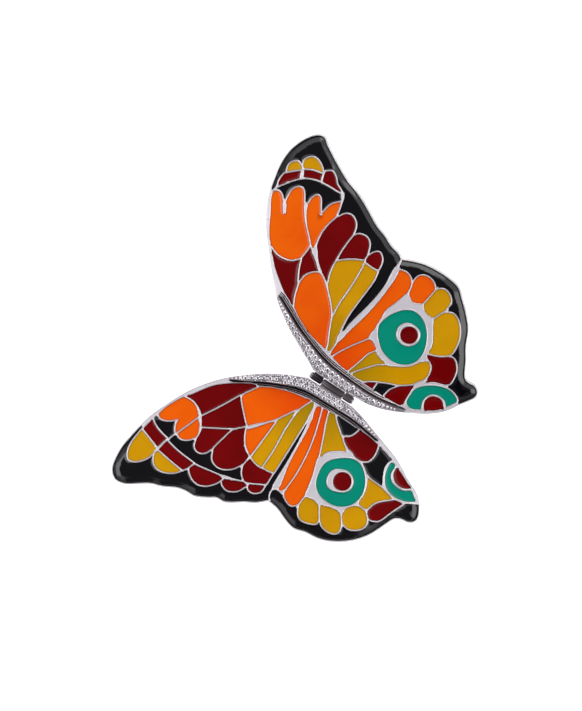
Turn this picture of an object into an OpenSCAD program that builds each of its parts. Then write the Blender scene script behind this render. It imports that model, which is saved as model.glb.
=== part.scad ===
// Butterfly brooch: two domed, enamelled wings on a small hinge, stone-set rails along the wing roots,
// and a safety pin behind the right wing. Plan outlines are in millimetres, as seen from straight above.

/* [Wings] */
// Radius of the dome that each wing is pressed to
dome_r = 150; // [130:1:220]
// Height of the dome's crown above the hinge line
crown_height = 1.3; // [1.1:0.05:1.5]
// Distance of the dome's crown from the hinge line
crown_out = 14.5; // [12:0.5:17]
// Position of the dome's crown along the hinge line
crown_along = 2; // [0:0.5:4]
// Thickness of a wing plate, floor and walls together
plate_t = 1.2; // [1.0:0.05:1.5]
// Depth of the enamel pockets
pocket_depth = 0.45; // [0.3:0.05:0.6]
// Height that the metal walls stand above the enamel
wall_proud = 0.05; // [0.02:0.01:0.1]
// Width of the metal walls around black enamel
wall_w = 0.27; // [0.2:0.01:0.32]
// Width of the metal rim outside the black enamel
rim_w = 0.3; // [0.2:0.05:0.4]
// Angle of the right wing above level
right_lift = 12; // [8:0.5:14]
// Angle of the left wing below level
left_drop = 0; // [0:0.1:2]

/* [Stone rails] */
// Height of a rail above the wing plate
rail_h = 1.0; // [0.8:0.05:1.2]
// Radius of a stone
stone_r = 0.42; // [0.35:0.01:0.42]
// Distance between stones along a row
stone_pitch = 0.98; // [0.95:0.01:1.1]
// Distance of each row from the middle of a double row
row_offset = 0.4; // [0.38:0.01:0.45]
// Narrowest half width of a rail that holds two rows
double_row_from = 0.76; // [0.74:0.01:0.8]
// Narrowest half width of a rail that holds a stone
single_row_from = 0.42; // [0.4:0.01:0.45]

/* [Wing hinge] */
// Outer radius of a knuckle
knuckle_r = 0.6; // [0.55:0.01:0.62]
// Radius of the hinge rod
rod_r = 0.35; // [0.3:0.01:0.36]
// Clearance around the rod
rod_clearance = 0.03; // [0.02:0.01:0.05]
// Gap from the hinge line to the edge of each plate
root_gap = 0.72; // [0.7:0.01:0.8]
// Head end of the hinge
knuckles_top = 4.05; // [3.9:0.05:4.2]
// Tail end of the hinge
knuckles_bottom = -3.3; // [-3.5:0.05:-3.1]
// Gap between neighbouring knuckles
knuckle_gap = 0.1; // [0.06:0.01:0.15]

/* [Pin fitting] */
// Distance of the pin from the hinge line
pin_out = 12; // [11:0.25:12.5]
// Depth of the pin's axis behind the hinge line
pin_depth = 3.4; // [3.2:0.1:3.8]
// Radius of the pin
pin_r = 0.45; // [0.4:0.01:0.5]
// Position of the pin's rivet along the wing
rivet_along = 13.2; // [12:0.1:14]
// Radius of the rivet
rivet_r = 0.4; // [0.35:0.01:0.45]
// Middle of the catch along the wing
catch_along = -11.5; // [-12:0.1:-10.5]
// Inner radius of the safety sleeve
sleeve_bore_r = 0.6; // [0.56:0.01:0.64]
// Outer radius of the safety sleeve
sleeve_r = 0.95; // [0.9:0.01:1.0]
// Outer radius of the catch
catch_r = 1.45; // [1.35:0.01:1.55]

/* [Hidden] */

// The hinge line's place in plan, and the plan point that stands over the origin
hinge_x = -0.6;
plan_middle = [0.22, 2.1];
// The hinge line's height, which sets the pin fitting down on the table
hinge_z = 2.24;

// Facets of the big dome spheres and of small round parts
dome_fn = 256;
round_fn = 48;
// Pieces in each stretch of a smooth outline
outline_steps = 4;

// Wing outlines. A third value marks a corner, and the curve is smooth through the other points.
left_outline = [
    [-1.32, 4.5, 1], [-1.8, 5.6], [-2.8, 7.8], [-4.4, 10.5], [-6.3, 13], [-8.5, 15.5], [-11.3, 17.9],
    [-14.5, 19.9], [-18.9, 21.85], [-21.5, 22.65], [-24.5, 23.2], [-27, 23.5], [-29.8, 23.2], [-31.2, 22.4],
    [-31.8, 21.2], [-31.4, 19.6], [-30.2, 17.9], [-29.2, 16.4], [-28.6, 14.7], [-27.5, 12.6], [-27.1, 11],
    [-27, 9.4], [-26.1, 7.6], [-25.3, 6.3], [-25.1, 4.7], [-23.5, 2.3], [-22.6, 0.7], [-21.2, -0.85, 1],
    [-21.5, -2.8], [-22.3, -4.8], [-22.7, -6.7], [-22.2, -8.6], [-21.95, -10.8], [-21.1, -13],
    [-19.4, -15.4], [-17.1, -17.3], [-14.4, -18.55], [-12.8, -19.3], [-12.2, -20.4], [-12, -21.6],
    [-11.2, -22.4], [-10, -22.3], [-8.5, -21.4], [-7.7, -20.6], [-7.1, -19.6], [-6.2, -17.6], [-5.3, -16],
    [-4.3, -13.9], [-3.2, -10.5], [-2.1, -7], [-1.45, -4.6], [-1.32, -3.3, 1]
];
right_outline = [
    [0.12, 4.5, 1], [0.9, 5.9], [1.75, 7.8], [2.8, 9.8], [4, 11.9], [5.2, 13.9], [6.4, 15.5], [8.3, 17.3],
    [10.4, 19.3], [12.5, 21.1], [14.7, 23], [16.8, 24.35], [18.9, 25.4], [21.3, 26.1], [24.5, 26.65], [27.2, 26.45],
    [29.7, 25.4], [31.1, 24.2], [31.5, 23], [30.8, 21.9], [29.8, 20.1], [28.9, 18.3], [27.9, 16.1],
    [27.3, 14.1], [26.6, 12.3], [25.6, 10.3], [24.6, 8.3], [24, 6.4], [23.3, 4.9], [22.9, 3.2],
    [22.4, 2.35, 1], [23.1, 0.7], [23.7, -1.2], [23.95, -3.5], [23.9, -5.6], [23.5, -7.6], [22.3, -9.1],
    [20.8, -10.8], [18.8, -12.6], [16.3, -13.8], [14.5, -15], [12.5, -16.1], [11.8, -16.9], [11.8, -18.3],
    [11.2, -19.3], [10.3, -19.5], [9.2, -18.9], [8, -18.05], [6.6, -17.2], [5.3, -16.1], [4, -14.5],
    [3, -12.8], [2.1, -11.1], [1.1, -8.9], [0.4, -6.6], [0.12, -4.7], [0.12, -3.3, 1]
];

// Middle line of each stone rail, from the head end to the tail end, with its half width
left_rail_line = [
    [-8.2, 14.8, 0.1], [-6.7, 12.7, 0.45], [-5.2, 10.4, 0.6], [-3.85, 7.95, 0.76], [-2.85, 5.7, 0.84],
    [-2.3, 3.4, 0.88], [-2.22, 1, 0.84], [-2.18, -2, 0.8], [-2.3, -4.5, 0.64], [-2.66, -6.8, 0.45],
    [-3.5, -10.2, 0.1]
];
right_rail_line = [
    [6.9, 15.5, 0.1], [5.3, 12.9, 0.45], [3.95, 10.4, 0.6], [2.85, 7.9, 0.76], [1.95, 5.5, 0.86],
    [1.28, 3, 0.95], [1.08, 0.5, 0.9], [1, -2, 0.82], [1.05, -4.5, 0.68], [1.42, -7, 0.47],
    [1.95, -9.2, 0.28], [2.6, -11.2, 0.1]
];

// Enamel cells of the left forewing
left_fore_yellow = [
    [[-27.8, 21.1], [-27.4, 21.8], [-26.3, 22.3], [-24.9, 22.4], [-22.8, 22.2, 1], [-23.4, 20.2],
        [-24, 18.8, 1], [-25, 18.75], [-26.1, 19.1], [-27.2, 20]],
    [[-25, 18.3], [-24.2, 18.1, 1], [-24.5, 15.9], [-24.8, 13.5, 1], [-25.6, 14.2], [-26.35, 15.5],
        [-26.5, 16.7], [-26, 17.7]],
    [[-16.7, 5.05, 1], [-13, 4.85], [-9.6, 4.75], [-8.4, 4.2], [-7, 3.35, 1], [-10.5, 3.3], [-14, 3.05],
        [-17.2, 3.1, 1], [-17.1, 4.2]],
    [[-17, 2.65, 1], [-13.8, 2.6], [-10.5, 2.85], [-7, 2.75], [-5.2, 2.35], [-4.3, 1.8], [-4.8, 1.4],
        [-8, 1.05], [-12.5, 0.95], [-16.85, 0.9, 1], [-17.1, 1.7]]
];
left_fore_outer_red = [
    [[-23.8, 12.35], [-22.9, 12.1, 1], [-22.5, 10.3], [-22.2, 8.6], [-22.25, 7.25, 1], [-23.2, 7.6],
        [-24.4, 8.6], [-25, 9.8], [-24.9, 10.9], [-24.4, 11.8]],
    [[-22.6, 7], [-22.1, 6.7], [-21.6, 5.5], [-21, 4.2], [-21.1, 3.45, 1], [-22.3, 4], [-23, 4.8],
        [-23.3, 5.6], [-23.1, 6.4]],
    [[-21.2, 2.95], [-21.45, 2.4], [-21.3, 1.7], [-20.6, 1], [-19.6, 0.95, 1], [-20.1, 2], [-20.7, 3, 1]],
    [[-20.7, 12.8], [-20.4, 13.5], [-19.7, 13.9], [-18.4, 13.95], [-17.3, 14.1, 1], [-15.1, 10.4, 1],
        [-17.2, 10.9], [-18.6, 11.25], [-19.8, 11.5], [-20.5, 12.1]],
    [[-19.7, 10.6], [-18.6, 10.8], [-16.5, 10.35], [-15, 9.9], [-13.6, 8.6, 1], [-15.2, 7.8],
        [-16.4, 6.8], [-17, 5.75, 1], [-18.5, 5.9], [-19.8, 6.6], [-20.7, 7.7], [-21, 8.9], [-20.6, 10]],
    [[-19.2, 5.3], [-18.2, 5.35], [-17.3, 5.15, 1], [-17.6, 3.8], [-17.6, 2.8], [-17.25, 0.95, 1],
        [-19, 0.9, 1], [-19.2, 1.2], [-20.2, 3.1], [-20.45, 4.1], [-20, 4.8]]
];
left_fore_inner_red = [
    [[-22.4, 21.9, 1], [-21.5, 21.95], [-20.5, 21.6, 1], [-21.2, 20.2], [-21.8, 18.3, 1],
        [-23.4, 18.7, 1], [-23, 20.2]],
    [[-23.8, 18.1, 1], [-22, 17.8, 1], [-22.4, 15.6], [-22.7, 12.5, 1], [-23.5, 12.8], [-24.4, 13.2, 1],
        [-24.2, 15.5]],
    [[-14.3, 19, 1], [-12.4, 17.8], [-10.5, 16.4], [-8.8, 14.4], [-7.3, 12.1], [-6.9, 11.2],
        [-7, 10.6, 1], [-9.3, 12.05], [-13.2, 14.3], [-15.3, 15.5, 1], [-14.6, 16.5], [-14.2, 17.8]],
    [[-16.9, 14.4, 1], [-15.7, 15.2, 1], [-12.7, 13.4], [-9.7, 12, 1], [-11, 10.8], [-13.1, 8.8, 1],
        [-14.1, 9.8], [-15.2, 11.4]]
];
left_fore_heart = [
    [-19.5, 20.6], [-19.3, 21], [-18.6, 21.2], [-17.4, 20.85], [-15.5, 19.95], [-14.8, 19.4], [-14.6, 18.4],
    [-14.9, 17.1], [-15.9, 15.9, 1], [-17.6, 16.4], [-20, 17.4, 1], [-19.2, 17.9], [-18.2, 18.05],
    [-18, 18.25], [-18.2, 18.5], [-19, 19.35]
];
left_fore_orange = [
    left_fore_heart,
    [[-20.1, 17, 1], [-18.2, 16.3], [-16.5, 15.6, 1], [-17.2, 14.9], [-18.5, 14.45], [-19.6, 14.8],
        [-20.3, 15.7], [-20.4, 16.4]],
    [[-9.4, 11.55], [-10.6, 10.8], [-12.8, 8.4, 1], [-9.4, 5.2], [-6.9, 3.6], [-4.5, 2.3], [-4.25, 2.7],
        [-4.7, 5.4], [-5.6, 8.1], [-6.4, 9.6], [-7, 10.2], [-8.2, 11]],
    [[-13.6, 8.1, 1], [-12.4, 7], [-10.1, 5.1, 1], [-13.5, 5.4], [-16.5, 5.6, 1], [-15.6, 6.8],
        [-14.6, 7.6]]
];
left_fore_small_black = [
    [-20.1, 21.4], [-19.6, 21.2], [-19.8, 20.4], [-19.5, 19.5], [-18.75, 18.5, 1], [-19.7, 18.1],
    [-20.4, 17.6, 1], [-21.3, 17.95, 1], [-21.1, 19.5], [-20.6, 20.8]
];
left_fore_long_black = [
    [-21.75, 17.6, 1], [-20.7, 17.3, 1], [-20.2, 16.4, 1], [-19.6, 15, 1], [-19.6, 13, 1], [-19.6, 9, 1],
    [-19.2, 5.9, 1], [-19.4, 5, 1], [-20.2, 4.4, 1], [-20.75, 4.7, 1], [-21.7, 8], [-22.2, 10],
    [-22.35, 12.8], [-22.2, 15.5]
];
left_fore_margin = [
    [-22.2, 25, 1], [-22.3, 22.6, 1], [-23.2, 22, 1], [-25.2, 21, 1], [-25.2, 16, 1], [-24.6, 13.1, 1],
    [-24.2, 12.6, 1], [-23.6, 11, 1], [-23, 8, 1], [-22.7, 7.1, 1], [-22.4, 5.5, 1], [-21.8, 4, 1],
    [-21.5, 3.3, 1], [-21, 2.5, 1], [-20.6, 1.4, 1], [-19, 1, 1], [-17, 0.75, 1], [-12, 0.7, 1],
    [-7.4, 0.72, 1], [-12, 0.32], [-17, 0], [-19.2, -0.1, 1], [-20.3, -0.3], [-21.3, -1, 1],
    [-24, -2, 1], [-34, 10, 1], [-34, 25, 1]
];

// Enamel cells of the left hindwing
left_hind_orange = [
    [[-18.7, -1.55], [-18.3, -1.2], [-15, -0.6], [-11.5, -0.28], [-8, 0], [-4.9, 0.7], [-4.3, 0.6],
        [-4.5, 0.05], [-7.5, -0.85], [-11, -1.65], [-15, -2], [-17.5, -1.95]],
    [[-19.8, -4], [-19.4, -3], [-18.6, -2.4], [-15, -2.5], [-11.5, -2.2], [-8, -1.5], [-4.9, -0.5],
        [-4.2, -0.4], [-4.2, -1], [-6, -1.6], [-8.6, -2.7], [-11.5, -3.75], [-14.5, -4.65], [-17, -5.1],
        [-18.8, -5.05], [-19.6, -4.6]]
];
left_hind_yellow = [
    [[-20.85, -7.3], [-20.6, -6.3], [-19.6, -5.6], [-18.5, -5.4], [-17.6, -5.6], [-17.15, -6.6],
        [-17.4, -7.6], [-18.3, -8.4], [-19.6, -9.2], [-20.3, -8.9]],
    [[-17.4, -8.4], [-18.8, -9.2], [-19.8, -10.1], [-20.1, -11.3], [-19.8, -12.5], [-19, -12.9],
        [-17.9, -12.35], [-16.7, -11.3], [-16.75, -10.2], [-17.1, -8.7]],
    [[-18, -13.8], [-17.3, -12.5], [-16.1, -11.95], [-14.9, -12.4], [-14.2, -13.8], [-14.7, -15.2],
        [-15.9, -15.95], [-17.2, -15.4]],
    [[-13.85, -14], [-13.4, -13.15], [-12.2, -13.15], [-11, -12.95], [-9.65, -12.4, 1], [-9.65, -14.2],
        [-10.3, -17.1, 1], [-11.5, -15.7], [-12.7, -15], [-13.5, -14.8]],
    [[-10.6, -4, 1], [-8, -2.95], [-4.8, -1.65], [-4, -1.6], [-4.1, -2.3], [-5, -3.4], [-6.5, -5.2],
        [-7.9, -6.9, 1], [-8.6, -5.7], [-9.5, -4.6]]
];
left_hind_red = [
    [[-6.2, -5.65], [-5.6, -6.4], [-4.6, -6.8], [-3.85, -7, 1], [-3.85, -8.5], [-4.2, -10.4],
        [-5, -10.85], [-6.2, -10.95], [-7.3, -10.5], [-7.75, -9.3], [-7.35, -7.5], [-6.8, -6.35]],
    [[-14.85, -16], [-14.4, -15.35], [-13.5, -15.1], [-12.4, -15.5], [-11.2, -16.7], [-10.3, -17.8],
        [-10.05, -19.1, 1], [-12, -18.25], [-14.1, -17.45], [-14.75, -16.6]],
    [[-5.8, -15.2], [-6.6, -15.3], [-7.5, -16.1], [-7.85, -17.2], [-7.6, -18.3], [-7.2, -18.8, 1],
        [-6.5, -17.4], [-5.8, -15.8]]
];
left_eye_middle = [-12.2, -9.05];
left_eye_r = 1.5;
left_eye_outer = [
    [-16.25, -8.8], [-16, -7.2], [-14.9, -5.8], [-13.3, -5.2], [-11.8, -5.05], [-10.4, -5.6], [-9, -7.1],
    [-8.25, -8.7], [-8.4, -10.2], [-9.6, -11.7], [-11.2, -12.6], [-12.7, -12.85], [-14.2, -12.5],
    [-15.4, -11.5], [-16.1, -10.2]
];
left_eye_inner = [
    [-14.3, -8.3], [-14, -7.3], [-13.2, -6.75], [-12.2, -6.6], [-11.3, -6.9], [-10.7, -7.8],
    [-10.35, -8.9], [-10.6, -9.9], [-11.3, -10.6], [-12.2, -10.85], [-13.1, -10.6], [-13.8, -9.8]
];
left_half_eye = [
    [-5.4, -14], [-6.3, -13.9], [-7.6, -14.25], [-8.8, -15], [-9.5, -16.1], [-9.75, -17.5],
    [-9.5, -19.1], [-8.6, -20.6], [-8.1, -20.1], [-7.5, -19.1], [-8.1, -18.1], [-8.25, -16.9],
    [-7.9, -15.7], [-6.9, -14.9], [-5.5, -14.8]
];
left_hind_small_black = [
    [[-3.9, -2.9], [-4.6, -3.3], [-5.4, -4.4], [-5.85, -5], [-5.4, -5.9], [-4.7, -6.4], [-3.9, -6.6, 1],
        [-3.8, -4.5]],
    [[-8, -10.35, 1], [-7.5, -11], [-6.3, -11.35], [-5, -11.2], [-4.4, -11.1, 1], [-4.6, -12.5],
        [-5.1, -13.8, 1], [-5.8, -13.4], [-6.8, -13.4], [-8, -13.9], [-9.3, -14.6, 1], [-9.35, -13.5],
        [-8.9, -11.8]]
];
left_hind_margin = [
    [-19.5, -0.62], [-19.05, -1.3], [-19.3, -2, 1], [-18.8, -3, 1], [-18.8, -4.6, 1], [-19.7, -5.2, 1],
    [-19, -6, 1], [-19, -8, 1], [-19.9, -9.3, 1], [-19, -10.5, 1], [-18.8, -12.3, 1], [-18.7, -12.9, 1],
    [-17.3, -13.6, 1], [-16.3, -15.4, 1], [-15.3, -16, 1], [-14.4, -16.2, 1], [-13.5, -17, 1],
    [-10.3, -18.7, 1], [-9.6, -19.9, 1], [-8.9, -21.3, 1], [-9.2, -23.5, 1], [-25, -23.5, 1],
    [-25, -5, 1], [-21.9, -3.4, 1], [-21, -1.2], [-20.2, -0.65]
];

// Enamel cells of the right forewing
right_fore_yellow = [
    [[23.8, 25, 1], [24.5, 25.3], [25.3, 25.2], [26, 24.5], [25.9, 23.9], [25.4, 23.45, 1], [24.7, 24.2]],
    [[25.8, 23, 1], [26.4, 23.6], [27.2, 23.5], [27.9, 22.7], [27.9, 21.8], [27.4, 20.8], [26.9, 20.3, 1],
        [26.5, 21.6]],
    [[9.5, 6.75, 1], [10.8, 7.8], [12.6, 9.6], [13.3, 10.05], [14.8, 10.5], [16.4, 10.6], [17.2, 9.8],
        [18.1, 8.5], [18.8, 7.2, 1], [17.5, 6.95], [15, 6.9], [12.5, 7], [10.8, 6.95]],
    [[4.1, 4.2], [5.4, 4.8], [7.2, 5.7], [9, 6.35], [11, 6.5], [14.5, 6.4], [18.6, 6.7, 1],
        [18.6, 4.5, 1], [17.2, 4.25], [15, 4.35], [13, 4.5], [10.5, 4.6], [8.4, 4.45], [6.3, 4.1],
        [4.7, 3.95]]
];
right_fore_outer_red = [
    [[21.4, 24.95, 1], [22.2, 25.3], [23.3, 25.2, 1], [24.1, 24.4], [24.9, 23.25, 1], [24.1, 22.95, 1],
        [23, 23.9]],
    [[24.7, 22.3, 1], [25.5, 22.8, 1], [26.1, 21.7], [26.4, 20.2, 1], [25.6, 19.95, 1], [25.3, 21]],
    [[25.6, 19.3, 1], [26.4, 19.6], [27.2, 19.8, 1], [27.7, 19], [27.3, 18.1], [26.5, 17.3],
        [26.1, 16.4], [25.8, 16.4], [25.75, 17.8]],
    [[13.1, 10.3, 1], [14.2, 12], [15.4, 13.4], [16.8, 14.5], [18.6, 14.95], [20.7, 14.8], [22.3, 14.3],
        [23.5, 13.5], [23.7, 12.4], [23, 11.4], [21.6, 10.95], [19.8, 11.1], [18, 11.2], [15.9, 11.05],
        [14.3, 10.75]],
    [[17.1, 10.65, 1], [19.3, 10.75], [21.4, 10.55], [22.1, 9.8], [22.2, 8.7], [21.6, 7.9], [20.4, 7.4],
        [19.3, 7.25, 1], [18.6, 8.7], [17.9, 9.8]],
    [[19.2, 6.9], [20, 6.92], [20.9, 6.5], [21.35, 5.8], [20.8, 5], [20, 4.65], [19.1, 4.55, 1],
        [18.95, 5.6]]
];
right_fore_inner_red = [
    [[7.05, 12.95, 1], [7.8, 14.8], [8.9, 16.5], [10.6, 18.7], [12.6, 20.5, 1], [12.1, 19.2], [12.2, 17.6],
        [12.7, 16.5], [13.5, 15.7, 1], [11.8, 15], [10, 14.05], [8.3, 13.5]],
    [[10.8, 14.1, 1], [12.7, 15.1], [14.2, 15.5], [16, 15.4, 1], [15, 14], [13.75, 12.55, 1],
        [13.2, 13.2], [12.2, 13.9]]
];
right_fore_twin_lobe = [
    [12.45, 18.8], [12.7, 20.2], [13.5, 21.45], [15.1, 22.6], [17.1, 23.7], [19, 24.85], [20, 25],
    [20.55, 24.5], [20.3, 23.7], [19.6, 23.1], [18.1, 21.95, 1], [18.3, 21.6, 1], [19.7, 22.35],
    [20.7, 22.7], [21.9, 22.7], [22.8, 22.2], [22.9, 21.4], [22, 20.6], [20.2, 19.5], [18.7, 18.3],
    [17.2, 16.5], [16.2, 15.8], [14.9, 15.75], [13.7, 16.15], [12.8, 17.2]
];
right_fore_fork = [
    [16.4, 15.1, 1], [17.1, 16.1], [18.4, 17.3], [20, 18.6], [21.4, 19.3], [22.6, 19.35], [23.4, 18.9],
    [23.2, 18.3], [22.2, 17.6], [21.3, 17], [21.25, 16.75], [22.4, 16.6], [23.5, 16.2], [24.5, 15.3, 1],
    [23.2, 14.9], [22, 14.85], [20.8, 15.2], [19, 15.4]
];
right_fore_orange = [
    right_fore_twin_lobe,
    right_fore_fork,
    [[4.1, 5.1], [4.5, 7.5], [5.3, 9.7], [6.4, 11.8], [7.35, 12.6], [9, 13.35], [11, 13.7], [12.4, 13.3],
        [13.3, 12.3], [13.3, 11.4], [12.2, 10], [10.5, 8.2], [8.8, 6.9], [6.5, 5.8], [4.6, 4.9]]
];
right_fore_inner_black = [
    [20.8, 24.9, 1], [21.9, 24.1], [24, 22.3], [25, 20.4], [25.4, 18.5], [25.5, 16, 1], [24.9, 15.5, 1],
    [23.3, 15.6, 1], [21.6, 17, 1], [22.5, 18.4, 1], [21.6, 20, 1], [22, 21.6, 1], [20.2, 22.95, 1],
    [19.9, 23.8, 1], [20.1, 24.5, 1]
];
right_fore_margin = [
    [20.2, 25.55, 1], [21, 25.45], [22, 25.6], [23.5, 25, 1], [25, 24.6, 1], [25.7, 23.7, 1],
    [27, 23, 1], [27, 20.6, 1], [27.3, 20, 1], [26.9, 19, 1], [26.3, 17.5, 1], [26.3, 16.3, 1],
    [26.1, 15.5, 1], [25.3, 15, 1], [22.8, 14.5, 1], [22.6, 13, 1], [22.3, 11, 1], [21, 10.2, 1],
    [21, 8, 1], [20.4, 7.2, 1], [20.4, 6, 1], [19.5, 5, 1], [19, 4.2, 1], [17.2, 3.95], [15, 4.05],
    [13, 4.2], [10.5, 4.3], [8.9, 4.15], [7.9, 3.95, 1], [9.6, 3.63], [11.8, 3.16], [13.8, 2.75],
    [16, 2.45], [18, 2.35], [20, 2.55], [22.2, 2.6, 1], [26, 2, 1], [34, 20, 1], [34, 30, 1], [20, 30, 1]
];

// Enamel cells of the right hindwing
right_hind_orange = [
    [[3.8, 3.4], [6, 3.4], [8.5, 3], [11.5, 2.3], [14.7, 1.75], [18, 1.5], [20.8, 1.6, 1], [21, 0.5],
        [20.6, -0.5], [19.6, -1.05], [18, -1.1], [16.2, -0.6], [14.5, 0], [12.5, 0.1], [10.5, 0],
        [9.2, 0.15], [7.5, 1.2], [5.3, 2.5]],
    [[3.5, 2.7], [4.2, 2.7], [6.2, 1.65], [8.1, 0.3], [8.95, -0.4], [9.1, -0.9], [8.7, -1.6],
        [8.2, -1.9], [7, -1.2], [5.7, -0.9], [3.4, -0.15], [3, 0.5], [3.2, 1.7]],
    [[17.75, -2.9], [18.3, -1.9], [19.6, -1.5], [21, -1.25], [21.9, -1.7], [22.25, -2.8], [21.9, -4],
        [21.1, -4.6], [19.6, -4.4], [18.3, -4]]
];
right_hind_yellow = [
    [[3.2, -0.55], [5.2, -1.1], [6.9, -1.55], [7.9, -2.2, 1], [7.5, -3.4], [7.15, -4.4, 1], [6.3, -3.2],
        [4.8, -2], [3.5, -0.95]],
    [[2.9, -1.4], [3.5, -1.4], [5.2, -2.8], [6.5, -4], [7.3, -5.5], [8, -7], [9, -8.3], [10.5, -9.3],
        [10.95, -10], [10.5, -10.8], [9.3, -11.05], [8, -10.75], [6.8, -9.7], [5.7, -8.2], [4.8, -6.2],
        [3.9, -4.4], [2.85, -2.6]],
    [[17.3, -6], [17.7, -4.95], [18.5, -4.65], [20, -4.75], [21.3, -5], [21.95, -5.9], [21.7, -7],
        [20.9, -7.8], [19.8, -7.8], [18.4, -7.2], [17.5, -6.8]],
    [[12.5, -9.4], [13.8, -9.1], [15.2, -8.3], [16.6, -7.4], [17.6, -7.4], [18.9, -8.1], [19.5, -9.1],
        [19.1, -10.3], [18, -11.4], [16.6, -12.15], [15, -12.45], [13.9, -12.3], [13.1, -11.2],
        [12.5, -10]]
];
right_hind_red = [
    [[2.8, -3.6, 1], [3.2, -3.9], [3.85, -5, 1], [2.75, -5, 1]],
    [[2.75, -7.45], [3.5, -7.45], [4.5, -7.85], [5.5, -8.8], [6.5, -10.15, 1], [5, -10.3], [3.1, -10.3],
        [2.75, -9.6]],
    [[11.7, -9.6], [12.1, -9.7], [12.6, -11.2], [13.6, -12.7], [13.3, -13.7], [12.2, -14.55],
        [10.8, -14.85], [9.8, -14.7], [9.3, -13.4], [8.9, -12.4], [8.3, -11.6, 1], [9.6, -11.5],
        [10.7, -11], [11.4, -10.3]],
    [[4.25, -13.95, 1], [4.9, -13.35], [5.7, -13.1], [6.6, -13.5], [7.05, -14.4], [6.95, -15.2],
        [6, -16.15, 1], [5, -15.1]]
];
right_eye_middle = [13.05, -5.2];
right_eye_r = 1.42;
right_eye_outer = [
    [8.15, -5], [8.7, -3], [10, -1.4], [11.3, -0.55], [12.4, -0.4], [14, -0.9], [15.6, -2],
    [16.55, -3.4], [16.55, -4.9], [15.9, -6.3], [14.5, -7.6], [12.8, -8.4], [11, -8.65], [9.6, -8.1],
    [8.5, -6.8]
];
right_eye_inner = [
    [11.25, -4.8], [11.7, -3.75], [12.6, -3.2], [13.6, -3.15], [14.5, -3.8], [14.8, -4.9],
    [14.6, -6.1], [13.8, -6.8], [12.8, -6.95], [11.9, -6.5], [11.35, -5.7]
];
right_half_eye = [
    [3.35, -11.6], [3.8, -10.75], [5, -10.6], [6.3, -10.7], [7.4, -11.5], [8.4, -12.9], [9, -14.5],
    [9, -16], [8.3, -17.3], [7.4, -17], [6.5, -16.4, 1], [7.3, -15.5], [7.35, -14.1], [6.7, -13.1],
    [5.5, -12.8], [4, -13.3, 1], [3.5, -12.4]
];
right_hind_small_black = [
    [[2.7, -5.3, 1], [3.95, -5.35, 1], [4.6, -6.6], [5, -7.75, 1], [4.1, -7.1], [2.7, -6.95, 1]]
];
right_hind_margin = [
    [21.3, 1.9, 1], [20.6, 1, 1], [20.2, 0, 1], [20, -0.7, 1], [21.1, -1, 1], [21, -2.5, 1],
    [21, -3.8, 1], [21.8, -4.85, 1], [21, -5.5, 1], [20.8, -7, 1], [20, -8, 1], [18.8, -9, 1],
    [17.5, -11.2, 1], [14.5, -12.1, 1], [13.7, -12.6, 1], [12.6, -13.2, 1], [11.8, -14.2, 1],
    [10, -14.3, 1], [9.4, -15, 1], [8.7, -15.4, 1], [8.5, -16.8, 1], [8.15, -17.6, 1], [7.8, -18.5, 1],
    [10, -21, 1], [26, -21, 1], [26, 2.6, 1], [22, 2, 1]
];

// Outer edges of the walls around the three orange cells that have a notch
heart_surround = [
    [-19.8, 20.6], [-19.5, 21.25], [-18.6, 21.5], [-17.2, 21.2], [-15, 20.2], [-14.3, 18.6],
    [-14.9, 16.6], [-15.9, 15.5], [-18, 16], [-20.4, 17.4], [-19.3, 18.15], [-18.5, 18.35, 1],
    [-19.4, 19.3]
];
twin_lobe_surround = [
    [12, 19], [13, 21.8], [17, 24.3], [20.1, 25.3], [20.85, 24.5], [20.5, 23.5], [19.9, 22.95, 1],
    [20.8, 23], [22.1, 22.95], [23.1, 22.2], [23.2, 21.2], [22.2, 20.35], [20.3, 19.2], [18, 17],
    [16, 15.4], [13, 16]
];
fork_surround = [
    [16.2, 15, 1], [18, 17.4], [20, 18.9], [21.4, 19.6], [22.7, 19.65], [23.7, 19], [23.5, 18.1],
    [22.4, 17.4], [21.8, 16.9, 1], [23.6, 16.5], [24.9, 15.25, 1], [23, 14.6], [21, 14.9]
];

// ---- Curves ----

// One value of the smooth curve through four neighbouring points
function smooth_value(a, b, c, d, t) =
    (2 * b + (c - a) * t + (2 * a - 5 * b + 4 * c - d) * t * t + (3 * b - a - 3 * c + d) * t * t * t) / 2;

function place(p, i) = [p[(i + len(p)) % len(p)].x, p[(i + len(p)) % len(p)].y];
function is_corner(p, i) = len(p[(i + len(p)) % len(p)]) > 2;

// The stretch of a closed outline from point i to the next one, without its last point
function stretch(p, i) =
    let (b = place(p, i), c = place(p, i + 1))
    let (a = is_corner(p, i) ? 2 * b - c : place(p, i - 1))
    let (d = is_corner(p, i + 1) ? 2 * c - b : place(p, i + 2))
    is_corner(p, i) && is_corner(p, i + 1)
        ? [b]
        : [for (k = [0 : outline_steps - 1]) smooth_value(a, b, c, d, k / outline_steps)];

function closed_curve(p) = [for (i = [0 : len(p) - 1]) each stretch(p, i)];

function signed_area(p) =
    let (n = len(p))
    let (parts = [for (i = [0 : n - 1]) cross(p[i], p[(i + 1) % n])])
    parts * [for (i = [0 : n - 1]) 0.5];

function unit(v) = v / norm(v);
function left_of(v) = [-v.y, v.x];

// A closed curve moved inwards by d, or outwards when d is negative
function moved_in(p, d) =
    let (n = len(p), s = sign(signed_area(p)))
    [for (i = [0 : n - 1])
        let (before = left_of(unit(p[i] - p[(i + n - 1) % n])))
        let (after = left_of(unit(p[(i + 1) % n] - p[i])))
        p[i] + s * d * (before + after) / max(0.5, 1 + before * after)];

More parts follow.
